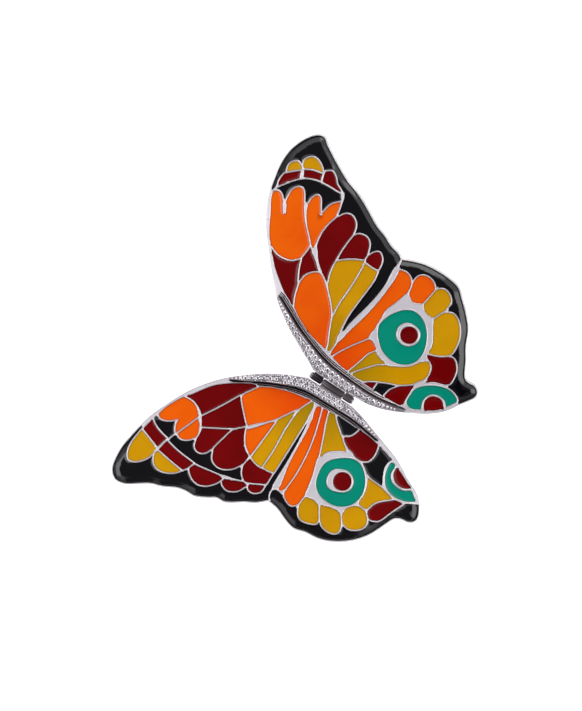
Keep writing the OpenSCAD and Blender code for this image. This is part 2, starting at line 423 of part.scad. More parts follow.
// Plan points laid flat in a wing's own frame: x out from the hinge line, y along it
mean_top = 0.9;
function on_wing(p, side, tilt) = [for (q = p)
    let (out = (q.x - hinge_x + mean_top * sin(tilt)) / cos(tilt))
    let (x = side * max(side * out, root_gap))
    len(q) > 2 ? [x, q.y, q[2]] : [x, q.y]];

function left_flat(p) = closed_curve(on_wing(p, -1, left_drop));
function right_flat(p) = closed_curve(on_wing(p, 1, right_lift));
function grown(curve) = moved_in(curve, -wall_w);

// Open smooth line through points that carry a half width as their third value
function line_point(p, i) = p[max(0, min(len(p) - 1, i))];
function open_line(p) = concat(
    [for (i = [0 : len(p) - 2], k = [0 : outline_steps - 1])
        smooth_value(line_point(p, i - 1), p[i], p[i + 1], line_point(p, i + 2), k / outline_steps)],
    [p[len(p) - 1]]);

function rail_on_wing(p, side, tilt) = [for (q = p)
    [(q.x - hinge_x + mean_top * sin(tilt)) / cos(tilt), q.y, q[2]]];

function flat_xy(q) = [q.x, q.y];
function line_way(p, i) =
    unit(flat_xy(p[min(len(p) - 1, i + 1)]) - flat_xy(p[max(0, i - 1)]));
function beside(p, i, d) = flat_xy(p[i]) + d * left_of(line_way(p, i));

function rail_outline(p, side) =
    let (edge = concat(
        [for (i = [0 : len(p) - 1]) beside(p, i, p[i][2])],
        [for (i = [len(p) - 1 : -1 : 0]) beside(p, i, -p[i][2])]))
    [for (q = edge) [side * max(side * q.x, root_gap + 0.02), q.y]];

// Distance along a line to each of its points, and the point at a given distance
function distances(p, i = 0, so_far = 0) =
    i == len(p) - 1
        ? [so_far]
        : concat([so_far], distances(p, i + 1, so_far + norm(flat_xy(p[i + 1]) - flat_xy(p[i]))));

function span_at(d, s, i = 0) = i >= len(d) - 2 || d[i + 1] > s ? i : span_at(d, s, i + 1);

function rail_point(p, d, s) =
    let (i = span_at(d, s), t = (s - d[i]) / (d[i + 1] - d[i]))
    let (q = p[i] + t * (p[i + 1] - p[i]), way = unit(flat_xy(p[i + 1] - p[i])))
    [q.x, q.y, q[2], way.x, way.y];

function to_side(q, d) = flat_xy(q) + d * [-q[4], q[3]];

// Middles of the stones on a rail: two staggered rows where it is wide, one row where it is narrow
function stone_places(p) =
    let (d = distances(p), total = d[len(d) - 1], count = floor(total / stone_pitch))
    [for (k = [0 : count - 1])
        let (q = rail_point(p, d, (k + 0.5) * stone_pitch))
        let (late = rail_point(p, d, min(total, (k + 1) * stone_pitch)))
        let (next = rail_point(p, d, min(total, (k + 1.5) * stone_pitch)))
        let (wide = q[2] >= double_row_from, next_wide = next[2] >= double_row_from)
        each wide && next_wide
            ? [to_side(q, row_offset), to_side(late, -row_offset)]
            : wide ? [to_side(q, row_offset)] : q[2] >= single_row_from ? [flat_xy(q)] : []];

left_rail = open_line(rail_on_wing(left_rail_line, -1, left_drop));
right_rail = open_line(rail_on_wing(right_rail_line, 1, right_lift));

// ---- Wing building blocks, each in its wing's own frame ----

function crown(side) = [side * crown_out, crown_along, crown_height - dome_r];

// Height of a wing's upper face at a place on it
function top_height(side, q) =
    crown_height - (pow(q.x - side * crown_out, 2) + pow(q.y - crown_along, 2)) / (2 * dome_r);

module dome(side, above) translate(crown(side)) sphere(dome_r + above, $fn = dome_fn);

module prism(curve) translate([0, 0, -8]) linear_extrude(16) polygon(curve);

// What lies between two domes, each given by its height above the wing's upper face
module layer(side, low, high) difference() {
    intersection() {
        union() children();
        dome(side, high);
    }
    dome(side, low);
}

module enamel_layer(side) layer(side, -pocket_depth, -wall_proud) children();

module cells(side, curves) enamel_layer(side) for (curve = curves) prism(curve);

module eye_ring(outer, inner) difference() {
    prism(outer);
    prism(inner);
}

// Black enamel fills its region up to a wall's width from every coloured cell
module black_region(outline, region, neighbours) difference() {
    intersection() {
        prism(moved_in(outline, rim_w));
        prism(region);
    }
    for (curve = neighbours) prism(curve);
}

module black_inner(region, neighbours) difference() {
    prism(region);
    for (curve = neighbours) prism(curve);
}

module plate(side, outline) difference() {
    layer(side, -plate_t, 0) prism(outline);
    difference() {
        children();
        dome(side, -pocket_depth);
    }
}

module rail(side, line) difference() {
    layer(side, 0, rail_h) prism(rail_outline(line, side));
    for (q = stone_places(line)) {
        translate([q.x, q.y, top_height(side, q) + rail_h - seat_depth]) {
            cylinder(h = 2, r = stone_r + 0.02, $fn = 32);
        }
    }
}

// A stone: flat culet, cone, girdle, crown and table
seat_depth = 0.42;
stone_profile = [
    [0, 0], [0.1, 0], [stone_r, 0.34], [stone_r, 0.4], [0.62 * stone_r, 0.56], [0, 0.56]
];
module stones(side, line) for (q = stone_places(line)) {
    translate([q.x, q.y, top_height(side, q) + rail_h - seat_depth]) {
        rotate_extrude($fn = 24) polygon(stone_profile);
    }
}

module left_pose() translate([hinge_x - plan_middle.x, -plan_middle.y, hinge_z]) {
    rotate([0, -left_drop, 0]) children();
}
module right_pose() translate([hinge_x - plan_middle.x, -plan_middle.y, hinge_z]) {
    rotate([0, -right_lift, 0]) children();
}

// ---- Left wing ----

left_edge = left_flat(left_outline);
left_fore_yellow_flat = [for (c = left_fore_yellow) left_flat(c)];
left_fore_outer_red_flat = [for (c = left_fore_outer_red) left_flat(c)];
left_fore_inner_red_flat = [for (c = left_fore_inner_red) left_flat(c)];
left_fore_orange_flat = [for (c = left_fore_orange) left_flat(c)];
left_hind_yellow_flat = [for (c = left_hind_yellow) left_flat(c)];
left_hind_red_flat = [for (c = left_hind_red) left_flat(c)];
left_hind_orange_flat = [for (c = left_hind_orange) left_flat(c)];
left_eye_outer_flat = left_flat(left_eye_outer);
left_half_eye_flat = left_flat(left_half_eye);

module left_eye_pupil() translate([left_eye_middle.x - hinge_x, left_eye_middle.y, -8]) {
    cylinder(h = 16, r = left_eye_r, $fn = 64);
}

module left_fore_black_prisms() {
    black_region(left_edge, left_flat(left_fore_margin), concat(
        [for (c = left_fore_yellow_flat) grown(c)],
        [for (c = left_fore_outer_red_flat) grown(c)],
        [for (c = left_fore_inner_red_flat) grown(c)]));
    black_inner(left_flat(left_fore_long_black), concat(
        [for (c = left_fore_outer_red_flat) grown(c)],
        [grown(left_fore_orange_flat[1])]));
    prism(left_flat(left_fore_small_black));
}

module left_hind_black_prisms() {
    black_region(left_edge, left_flat(left_hind_margin), concat(
        [for (c = left_hind_yellow_flat) grown(c)],
        [for (c = left_hind_orange_flat) grown(c)],
        [grown(left_hind_red_flat[1]), grown(left_half_eye_flat)]));
    for (c = left_hind_small_black) prism(left_flat(c));
}

module left_pockets() {
    for (c = left_fore_yellow_flat) prism(c);
    for (c = left_fore_outer_red_flat) prism(c);
    for (c = left_fore_inner_red_flat) prism(c);
    for (c = left_fore_orange_flat) prism(c);
    for (c = left_hind_yellow_flat) prism(c);
    for (c = left_hind_red_flat) prism(c);
    for (c = left_hind_orange_flat) prism(c);
    prism(left_half_eye_flat);
    eye_ring(left_eye_outer_flat, left_flat(left_eye_inner));
    left_eye_pupil();
    left_fore_black_prisms();
    left_hind_black_prisms();
}

module left_wing_plate() color("silver") left_pose() plate(-1, left_edge) left_pockets();
module left_stone_rail() color("gainsboro") left_pose() rail(-1, left_rail);
module left_rail_stones() color("aliceblue") left_pose() stones(-1, left_rail);

module left_forewing_black_enamel() color("black") left_pose() {
    enamel_layer(-1) left_fore_black_prisms();
}
module left_forewing_yellow_enamel() color("goldenrod") left_pose() cells(-1, left_fore_yellow_flat);
module left_forewing_red_enamel() color("darkred") left_pose() {
    cells(-1, concat(left_fore_outer_red_flat, left_fore_inner_red_flat));
}
module left_forewing_orange_enamel() color("darkorange") left_pose() cells(-1, left_fore_orange_flat);

module left_hindwing_black_enamel() color("black") left_pose() {
    enamel_layer(-1) left_hind_black_prisms();
}
module left_hindwing_yellow_enamel() color("goldenrod") left_pose() cells(-1, left_hind_yellow_flat);
module left_hindwing_red_enamel() color("darkred") left_pose() enamel_layer(-1) {
    for (c = left_hind_red_flat) prism(c);
    left_eye_pupil();
}
module left_hindwing_orange_enamel() color("darkorange") left_pose() cells(-1, left_hind_orange_flat);
module left_hindwing_teal_enamel() color("darkcyan") left_pose() enamel_layer(-1) {
    prism(left_half_eye_flat);
    eye_ring(left_eye_outer_flat, left_flat(left_eye_inner));
}

// ---- Right wing ----

right_edge = right_flat(right_outline);
right_fore_yellow_flat = [for (c = right_fore_yellow) right_flat(c)];
right_fore_outer_red_flat = [for (c = right_fore_outer_red) right_flat(c)];
right_fore_inner_red_flat = [for (c = right_fore_inner_red) right_flat(c)];
right_fore_orange_flat = [for (c = right_fore_orange) right_flat(c)];
right_hind_yellow_flat = [for (c = right_hind_yellow) right_flat(c)];
right_hind_red_flat = [for (c = right_hind_red) right_flat(c)];
right_hind_orange_flat = [for (c = right_hind_orange) right_flat(c)];
right_eye_outer_flat = right_flat(right_eye_outer);
right_half_eye_flat = right_flat(right_half_eye);
right_eye_out = (right_eye_middle.x - hinge_x + mean_top * sin(right_lift)) / cos(right_lift);

module right_eye_pupil() translate([right_eye_out, right_eye_middle.y, -8]) {
    cylinder(h = 16, r = right_eye_r, $fn = 64);
}

module right_fore_black_prisms() {
    black_region(right_edge, right_flat(right_fore_margin), concat(
        [for (c = right_fore_yellow_flat) grown(c)],
        [for (c = right_fore_outer_red_flat) grown(c)]));
    black_inner(right_flat(right_fore_inner_black), concat(
        [for (c = right_fore_outer_red_flat) grown(c)],
        [right_flat(twin_lobe_surround), right_flat(fork_surround)]));
}

module right_hind_black_prisms() {
    black_region(right_edge, right_flat(right_hind_margin), concat(
        [for (c = right_hind_yellow_flat) grown(c)],
        [for (c = right_hind_orange_flat) grown(c)],
        [grown(right_hind_red_flat[2]), grown(right_half_eye_flat)]));
    for (c = right_hind_small_black) prism(right_flat(c));
}

module right_pockets() {
    for (c = right_fore_yellow_flat) prism(c);
    for (c = right_fore_outer_red_flat) prism(c);
    for (c = right_fore_inner_red_flat) prism(c);
    for (c = right_fore_orange_flat) prism(c);
    for (c = right_hind_yellow_flat) prism(c);
    for (c = right_hind_red_flat) prism(c);
    for (c = right_hind_orange_flat) prism(c);
    prism(right_half_eye_flat);
    eye_ring(right_eye_outer_flat, right_flat(right_eye_inner));
    right_eye_pupil();
    right_fore_black_prisms();
    right_hind_black_prisms();
}

module right_wing_plate() color("silver") right_pose() plate(1, right_edge) right_pockets();
module right_stone_rail() color("gainsboro") right_pose() rail(1, right_rail);
module right_rail_stones() color("aliceblue") right_pose() stones(1, right_rail);

module right_forewing_black_enamel() color("black") right_pose() {
    enamel_layer(1) right_fore_black_prisms();
}
module right_forewing_yellow_enamel() color("goldenrod") right_pose() cells(1, right_fore_yellow_flat);
module right_forewing_red_enamel() color("darkred") right_pose() {
    cells(1, concat(right_fore_outer_red_flat, right_fore_inner_red_flat));
}
module right_forewing_orange_enamel() color("darkorange") right_pose() cells(1, right_fore_orange_flat);

module right_hindwing_black_enamel() color("black") right_pose() {
    enamel_layer(1) right_hind_black_prisms();
}
module right_hindwing_yellow_enamel() color("goldenrod") right_pose() cells(1, right_hind_yellow_flat);
module right_hindwing_red_enamel() color("darkred") right_pose() enamel_layer(1) {
    for (c = right_hind_red_flat) prism(c);
    right_eye_pupil();
}
module right_hindwing_orange_enamel() color("darkorange") right_pose() cells(1, right_hind_orange_flat);
module right_hindwing_teal_enamel() color("darkcyan") right_pose() enamel_layer(1) {
    prism(right_half_eye_flat);
    eye_ring(right_eye_outer_flat, right_flat(right_eye_inner));
}

// ---- Hinge between the wings ----

head_knuckle_from = 2.3;
tail_knuckle_to = -1.85;
leg_half_h = 0.35;

// A tube along the hinge line with a leg that reaches its own wing's edge
module knuckle(side, from, to) difference() {
    union() {
        translate([0, from, 0]) rotate([-90, 0, 0]) cylinder(h = to - from, r = knuckle_r, $fn = round_fn);
        translate([side > 0 ? 0 : -root_gap, from, -leg_half_h]) cube([root_gap, to - from, 2 * leg_half_h]);
    }
    translate([0, from - 1, 0]) rotate([-90, 0, 0]) {
        cylinder(h = to - from + 2, r = rod_r + rod_clearance, $fn = round_fn);
    }
}

module left_knuckle() color("lightgray") left_pose() {
    knuckle(-1, tail_knuckle_to + knuckle_gap, head_knuckle_from - knuckle_gap);
}
module right_head_knuckle() color("lightgray") right_pose() knuckle(1, head_knuckle_from, knuckles_top);
module right_tail_knuckle() color("lightgray") right_pose() knuckle(1, knuckles_bottom, tail_knuckle_to);

rod_head_t = 0.5;
rod_head_r = 0.55;
rod_tail_t = 0.3;
module hinge_rod() color("gray") right_pose() rotate([-90, 0, 0]) rotate_extrude($fn = round_fn) polygon([
    [0, knuckles_bottom - rod_tail_t], [rod_head_r - 0.1, knuckles_bottom - rod_tail_t],
    [rod_head_r, knuckles_bottom - 0.15], [rod_head_r, knuckles_bottom], [rod_r, knuckles_bottom],
    [rod_r, knuckles_top], [rod_head_r, knuckles_top], [rod_head_r, knuckles_top + rod_head_t - 0.2],
    [rod_head_r - 0.2, knuckles_top + rod_head_t], [0, knuckles_top + rod_head_t]
]);

// ---- Pin fitting on the back of the right wing ----

base_t = 0.5;
cheek_gap = 1.2;
cheek_t = 0.55;
cheek_r = 1.2;
joint_base_w = 3.2;
catch_base_w = 3.2;
catch_base_l = 3.4;
catch_l = 2.4;
catch_neck_w = 1.6;
catch_bore_r = sleeve_r + 0.03;
catch_slot_w = 1.3;
sleeve_slot_w = 1.2;
collar_gap = 0.1;
collar_t = 0.35;
collar_r = 1.25;
tab_reach = 1.8;
tab_w = 0.7;
eye_r = 1.0;
eye_t = 1.1;
eye_bore_r = rivet_r + 0.03;
stem_tip = -14.8;
stem_tip_r = 0.06;
wire_from = -9.6;
wire_to = 11.7;
root_r = 0.52;

// Everything below the back face of the right wing
module below_wing() intersection() {
    union() children();
    dome(1, -plate_t);
}

// Lowest level of a base plate's underside near a given place along the wing
function base_level(along) = top_height(1, [pin_out, along]) - plate_t - base_t;

module pin_joint() color("silver") right_pose() difference() {
    below_wing() {
        translate([pin_out - joint_base_w / 2, rivet_along - joint_base_w / 2, base_level(rivet_along)]) {
            cube([joint_base_w, joint_base_w, 1.5]);
        }
        for (side = [-1, 1]) {
            translate([pin_out + side * (cheek_gap + cheek_t) / 2 - cheek_t / 2, rivet_along, -pin_depth]) {
                rotate([0, 90, 0]) cylinder(h = cheek_t, r = cheek_r, $fn = round_fn);
                translate([0, -cheek_r, 0]) cube([cheek_t, 2 * cheek_r, 3]);
            }
        }
    }
    translate([pin_out - 3, rivet_along, -pin_depth]) {
        rotate([0, 90, 0]) cylinder(h = 6, r = rivet_r + 0.01, $fn = round_fn);
    }
}

rivet_half = cheek_gap / 2 + cheek_t;
rivet_head_t = 0.25;
rivet_head_r = 0.62;
module pin_rivet() color("gray") right_pose() translate([pin_out, rivet_along, -pin_depth]) {
    rotate([0, 90, 0]) rotate_extrude($fn = round_fn) polygon([
        [0, -rivet_half - rivet_head_t], [rivet_head_r - 0.15, -rivet_half - rivet_head_t],
        [rivet_head_r, -rivet_half - 0.1], [rivet_head_r, -rivet_half], [rivet_r, -rivet_half],
        [rivet_r, rivet_half], [rivet_head_r, rivet_half], [rivet_head_r, rivet_half + 0.1],
        [rivet_head_r - 0.15, rivet_half + rivet_head_t], [0, rivet_half + rivet_head_t]
    ]);
}

module pin_stem() color("silver") right_pose() translate([pin_out, 0, -pin_depth]) difference() {
    union() {
        rotate([-90, 0, 0]) rotate_extrude($fn = round_fn) polygon([
            [0, stem_tip], [stem_tip_r, stem_tip], [pin_r, wire_from], [pin_r, wire_to],
            [root_r, rivet_along], [0, rivet_along]
        ]);
        translate([-eye_t / 2, rivet_along, 0]) rotate([0, 90, 0]) cylinder(h = eye_t, r = eye_r, $fn = round_fn);
    }
    translate([-2, rivet_along, 0]) rotate([0, 90, 0]) cylinder(h = 4, r = eye_bore_r, $fn = round_fn);
}

module catch_housing() color("silver") right_pose() difference() {
    below_wing() {
        translate([pin_out - catch_base_w / 2, catch_along - catch_base_l / 2, base_level(catch_along)]) {
            cube([catch_base_w, catch_base_l, 1.5]);
        }
        translate([pin_out - catch_neck_w / 2, catch_along - catch_l / 2, -pin_depth]) {
            cube([catch_neck_w, catch_l, 3]);
        }
        translate([pin_out, catch_along - catch_l / 2, -pin_depth]) {
            rotate([-90, 0, 0]) cylinder(h = catch_l, r = catch_r, $fn = round_fn);
        }
    }
    translate([pin_out, catch_along - 2, -pin_depth]) {
        rotate([-90, 0, 0]) cylinder(h = 4, r = catch_bore_r, $fn = round_fn);
    }
    translate([pin_out - catch_slot_w / 2, catch_along - 2, -pin_depth - 3]) cube([catch_slot_w, 4, 3]);
}

sleeve_half = catch_l / 2 + collar_gap + collar_t;
module catch_sleeve() color("gainsboro") right_pose() translate([pin_out, catch_along, -pin_depth]) {
    difference() {
        union() {
            translate([0, -sleeve_half, 0]) rotate([-90, 0, 0]) {
                cylinder(h = 2 * sleeve_half, r = sleeve_r, $fn = round_fn);
            }
            for (from = [-sleeve_half, sleeve_half - collar_t]) {
                translate([0, from, 0]) rotate([-90, 0, 0]) {
                    cylinder(h = collar_t, r = collar_r, $fn = round_fn);
                }
            }
            translate([-tab_reach, sleeve_half - collar_t, -tab_w / 2]) cube([tab_reach, collar_t, tab_w]);
        }
        translate([0, -3, 0]) rotate([-90, 0, 0]) cylinder(h = 6, r = sleeve_bore_r, $fn = round_fn);
        translate([-sleeve_slot_w / 2, -3, -3]) cube([sleeve_slot_w, 6, 3]);
    }
}

left_wing_plate();
right_wing_plate();
left_stone_rail();
right_stone_rail();
left_rail_stones();
right_rail_stones();
left_forewing_black_enamel();
left_forewing_yellow_enamel();
left_forewing_red_enamel();
left_forewing_orange_enamel();
left_hindwing_black_enamel();
left_hindwing_yellow_enamel();
left_hindwing_red_enamel();
left_hindwing_orange_enamel();
left_hindwing_teal_enamel();
right_forewing_black_enamel();
right_forewing_yellow_enamel();
right_forewing_red_enamel();
right_forewing_orange_enamel();
right_hindwing_black_enamel();
right_hindwing_yellow_enamel();
right_hindwing_red_enamel();
right_hindwing_orange_enamel();
right_hindwing_teal_enamel();
left_knuckle();
right_head_knuckle();
right_tail_knuckle();
hinge_rod();
pin_joint();
pin_rivet();
pin_stem();
catch_housing();
catch_sleeve();
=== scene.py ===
import math

import bmesh
import bpy
import numpy as np
from mathutils import Matrix, Vector
from mathutils.geometry import delaunay_2d_cdt


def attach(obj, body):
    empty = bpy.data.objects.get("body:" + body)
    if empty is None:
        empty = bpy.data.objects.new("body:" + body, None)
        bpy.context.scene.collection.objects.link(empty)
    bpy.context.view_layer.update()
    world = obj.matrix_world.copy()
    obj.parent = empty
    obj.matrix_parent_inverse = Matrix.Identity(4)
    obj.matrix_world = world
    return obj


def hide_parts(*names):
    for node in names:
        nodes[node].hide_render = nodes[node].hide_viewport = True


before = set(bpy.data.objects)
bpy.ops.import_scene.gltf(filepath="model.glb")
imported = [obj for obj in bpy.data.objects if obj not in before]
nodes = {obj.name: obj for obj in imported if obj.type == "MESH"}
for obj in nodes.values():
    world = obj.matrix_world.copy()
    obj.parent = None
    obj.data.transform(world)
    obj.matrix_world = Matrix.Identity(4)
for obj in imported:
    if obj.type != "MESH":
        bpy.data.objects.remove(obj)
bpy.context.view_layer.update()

MM = 0.001

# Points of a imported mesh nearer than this, in millimetres, are one point
MERGE = 0.002
# Points measured at a time, which keeps the arrays small
CHUNK = 400

# Where the hinge line stands, and how far each wing is turned up about it
HINGE = Vector((-0.82, 0, 2.24)) * MM
ALONG = -2.1
WINGS = {"left": (-1, 0.0), "right": (1, math.radians(12))}

# The dome that both wings are pressed to, in each wing's own frame
DOME_R = 150.0
CROWN_H = 1.3
CROWN_OUT = 14.5
CROWN_ALONG = 2.0

# Metal walls and enamel, in millimetres
WIRE_R = 0.09
WIRE_OUT = 0.085
WIRE_SUNK = 0.05
RIM_WIRE_R = 0.08
GLAZE_EDGE = -0.03
GLAZE_DIP = 0.09
GLAZE_SOFT = 0.3
GLAZE_BACK = -0.4
# Distance over which the enamel's colour is darkened beside a wall, as painted shade
WALL_SHADE_REACH = 0.22

# Rows of points that follow a cell's outline inwards, and the open grid in its middle
INSETS = (0.05, 0.12, 0.21, 0.33, 0.5, 0.72, 1.0)
GRID_STEP = 0.55
GRID_FROM = 1.2
WIRE_STEP = 0.3

# How the outer margin of the enamel rolls down to the rim
ROLL_W = 1.2
ROLL_DROP = 0.2
ROLL_START = 0.16

# Shading tilt of the rolled margin
ROLL_TILT = math.radians(25)

# Walls thicker than WALL_GOAL are thinned from both sides, up to the gap where open metal begins
WALL_GOAL = 0.2
THIN_MOST = 0.16
OPEN_FROM = 0.62
OPEN_TO = 0.9

# The rim is thinned from within
RIM_GOAL = 0.15
RIM_NEAR = 0.34

# Where the enamel's root colour gives way to its full colour, from the hinge
ROOT_FROM = 3.0
ROOT_REACH = 12.0


# ---------------------------------------------------------------- basics


def choose(obj):
    bpy.ops.object.select_all(action="DESELECT")
    obj.select_set(True)
    bpy.context.view_layer.objects.active = obj


def wing_pose(side):
    """Turns a wing's own frame, in millimetres, to its place on the brooch, in metres."""
    lift = WINGS[side][1]
    place = Matrix.Translation(HINGE + Vector((0, ALONG * MM, 0)))
    return place @ Matrix.Rotation(-lift, 4, "Y") @ Matrix.Scale(MM, 4)


def dome(side, xy):
    """Height of a wing's upper face at plan points, in its own frame."""
    xy = np.atleast_2d(xy)
    out = xy[:, 0] - WINGS[side][0] * CROWN_OUT
    along = xy[:, 1] - CROWN_ALONG
    return CROWN_H - DOME_R + np.sqrt(DOME_R**2 - out**2 - along**2)


def new_piece(name, verts, faces, side, body, material, smooth=True):
    mesh = bpy.data.meshes.new(name)
    mesh.from_pydata([tuple(v) for v in verts], [], faces)
    mesh.transform(wing_pose(side))
    mesh.validate()
    obj = bpy.data.objects.new(name, mesh)
    bpy.context.scene.collection.objects.link(obj)
    finish_piece(obj, body, material, smooth)
    return obj


def finish_piece(obj, body, material, smooth=True):
    obj.data.materials.clear()
    obj.data.materials.append(material)
    obj.data.polygons.foreach_set("use_smooth", [smooth] * len(obj.data.polygons))
    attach(obj, body)


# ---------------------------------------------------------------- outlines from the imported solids


def chained(edges):
    """Closed loops of vertex numbers from directed edges."""
    after = dict(edges)
    loops = []
    while after:
        first, at = after.popitem()
        loop = [first]
        while at != first:
            loop.append(at)
            at = after.pop(at)
        loops.append(loop)
    return loops


def wing_mesh(node, side):
    """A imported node's mesh in its wing's frame, with doubled points merged."""
    bm = bmesh.new()
    bm.from_mesh(nodes[node].data)
    bm.transform(wing_pose(side).inverted())
    bmesh.ops.remove_doubles(bm, verts=bm.verts, dist=MERGE)
    return bm


def over_dome(face, side):
    """How far a face's middle lies above the wing's upper face."""
    middle = face.calc_center_median()
    return middle.z - dome(side, [(middle.x, middle.y)])[0]


def outlines(bm, patch):
    """Outlines of a patch of faces, as plan points. Each starts at its head end, so that runs agree."""
    members = set(patch)
    edges = []
    for face in patch:
        for loop in face.loops:
            if not any(other in members for other in loop.edge.link_faces if other != face):
                edges.append((loop.vert.index, loop.link_loop_next.vert.index))
    bm.verts.ensure_lookup_table()
    found = []
    for numbers in chained(edges):
        loop = np.array([bm.verts[i].co.xy for i in numbers])
        first = np.lexsort((loop[:, 0], loop[:, 1]))[-1]
        found.append(np.roll(loop, -first, axis=0))
    return sorted(found, key=lambda loop: tuple(loop[0]))


def top_regions(node, side):
    """The upper faces of a node's solids, each as (outer loop, hole loops) in the wing's frame."""
    bm = wing_mesh(node, side)
    upper = [face for face in bm.faces if face.normal.z > 0.8 and abs(over_dome(face, side)) < 0.25]
    loops = outlines(bm, upper)
    bm.free()
    outers = [loop for loop in loops if area(loop) > 0]
    holes = [loop for loop in loops if area(loop) <= 0]
    return [(outer, [hole for hole in holes if inside(hole[0], outer)]) for outer in outers]


def loops_of(regions):
    return [loop for outer, holes in regions for loop in [outer] + holes]


def area(loop):
    x, y = loop[:, 0], loop[:, 1]
    return 0.5 * float(np.sum(x * np.roll(y, -1) - np.roll(x, -1) * y))


def within(points, loop):
    """Which of the points a loop goes round."""
    a, b = loop, np.roll(loop, -1, axis=0)
    found = np.zeros(len(points), bool)
    for start in range(0, len(points), CHUNK):
        x, y = points[start:start + CHUNK, :1], points[start:start + CHUNK, 1:]
        crosses = (a[:, 1] > y) != (b[:, 1] > y)
        with np.errstate(divide="ignore", invalid="ignore"):
            cut = a[:, 0] + (y - a[:, 1]) * (b[:, 0] - a[:, 0]) / (b[:, 1] - a[:, 1])
        found[start:start + CHUNK] = np.sum(crosses & (x < cut), axis=1) % 2 == 1
    return found


def inside(point, loop):
    return bool(within(np.array([point]), loop)[0])


def smoothed(loop, step=0.16, corner=28):
    """A loop with evenly spaced points on a smooth curve, keeping its corners."""
    keep = np.linalg.norm(loop - np.roll(loop, 1, axis=0), axis=1) > 0.01
    loop = loop[keep]
    count = len(loop)
    before = loop - np.roll(loop, 1, axis=0)
    after = np.roll(loop, -1, axis=0) - loop
    turn = np.abs(np.degrees(np.arctan2(
        before[:, 0] * after[:, 1] - before[:, 1] * after[:, 0], np.sum(before * after, axis=1))))
    sharp = turn > corner
    points = []
    for i in range(count):
        b, c = loop[i], loop[(i + 1) % count]
        a = 2 * b - c if sharp[i] else loop[i - 1]
        d = 2 * c - b if sharp[(i + 1) % count] else loop[(i + 2) % count]
        parts = max(1, int(round(np.linalg.norm(c - b) / step)))
        for k in range(parts):
            t = k / parts
            points.append(0.5 * (2 * b + (c - a) * t + (2 * a - 5 * b + 4 * c - d) * t * t
                                 + (3 * b - a - 3 * c + d) * t**3))
    return np.array(points)


def moved_out(loop, distance):
    """A loop moved to the right of its own direction: outwards if it runs anticlockwise."""
    before = loop - np.roll(loop, 1, axis=0)
    after = np.roll(loop, -1, axis=0) - loop
    before /= np.maximum(np.linalg.norm(before, axis=1), 1e-9)[:, None]
    after /= np.maximum(np.linalg.norm(after, axis=1), 1e-9)[:, None]
    n1 = np.stack([before[:, 1], -before[:, 0]], axis=1)
    n2 = np.stack([after[:, 1], -after[:, 0]], axis=1)
    scale = np.maximum(0.45, 1 + np.sum(n1 * n2, axis=1))
    return loop + distance * (n1 + n2) / scale[:, None]


def gap_to(points, loops):
    """Distance of each point to the nearest loop."""
    best = np.full(len(points), 1e9)
    for loop in loops:
        a, b = loop, np.roll(loop, -1, axis=0)
        d = b - a
        length = np.maximum(np.sum(d * d, axis=1), 1e-12)
        for start in range(0, len(points), CHUNK):
            part = points[start:start + CHUNK, None, :]
            t = np.clip(np.sum((part - a) * d, axis=2) / length, 0, 1)
            near = a + t[..., None] * d
            best[start:start + CHUNK] = np.minimum(
                best[start:start + CHUNK], np.linalg.norm(part - near, axis=2).min(axis=1))
    return best


def widened(regions, others, edge_of_wing):
    """Cell regions moved out where the walls beside them are thick, and each outline point's move."""
    grown, moves = [], []
    for number, (outer, holes) in enumerate(regions):
        rest = others + loops_of(regions[:number] + regions[number + 1:])
        done = []
        for loop in [outer] + holes:
            gap = gap_to(loop, rest)
            most = np.clip((gap - WALL_GOAL) / 2, 0, THIN_MOST)
            move = most * np.clip((OPEN_TO - gap) / (OPEN_TO - OPEN_FROM), 0, 1)
            move = np.minimum((np.roll(move, 1) + 2 * move + np.roll(move, -1)) / 4, most)
            to_edge = gap_to(loop, [edge_of_wing])
            move = np.where(to_edge < RIM_NEAR, np.maximum(move, to_edge - RIM_GOAL), move)
            move = np.minimum(move, np.maximum(to_edge - RIM_GOAL, 0))
            step = move[:, None] * (moved_out(loop, 1.0) - loop)
            moves.append((loop, step))
            done.append(loop + step)
        grown.append((done[0], done[1:]))
    return grown, moves


def carried(points, moves):
    """Each plan point's move: that of the outline it lies on, or none."""
    best = np.full(len(points), 0.012)
    result = np.zeros((len(points), 2))
    for loop, step in moves:
        a, b = loop, np.roll(loop, -1, axis=0)
        d = b - a
        length = np.maximum(np.sum(d * d, axis=1), 1e-12)
        near = np.where(np.all((points > loop.min(0) - 0.02) & (points < loop.max(0) + 0.02), axis=1))[0]
        for start in range(0, len(near), CHUNK):
            rows = near[start:start + CHUNK]
            part = points[rows][:, None, :]
            share = np.clip(np.sum((part - a) * d, axis=2) / length, 0, 1)
            off = np.linalg.norm(part - a - share[..., None] * d, axis=2)
            at = off.argmin(axis=1)
            line = np.arange(len(rows))
            gap, s = off[line, at], share[line, at][:, None]
            closer = gap < best[rows]
            value = (1 - s) * step[at] + s * np.roll(step, -1, axis=0)[at]
            best[rows[closer]] = gap[closer]
            result[rows[closer]] = value[closer]
    return result


def is_inside(points, outer, holes):
    keep = within(points, outer)
    for hole in holes:
        keep &= ~within(points, hole)
    return keep


# ---------------------------------------------------------------- finishes


def material(name):
    mat = bpy.data.materials.new(name)
    mat.use_nodes = True
    tree = mat.node_tree
    return mat, tree, tree.nodes["Principled BSDF"]


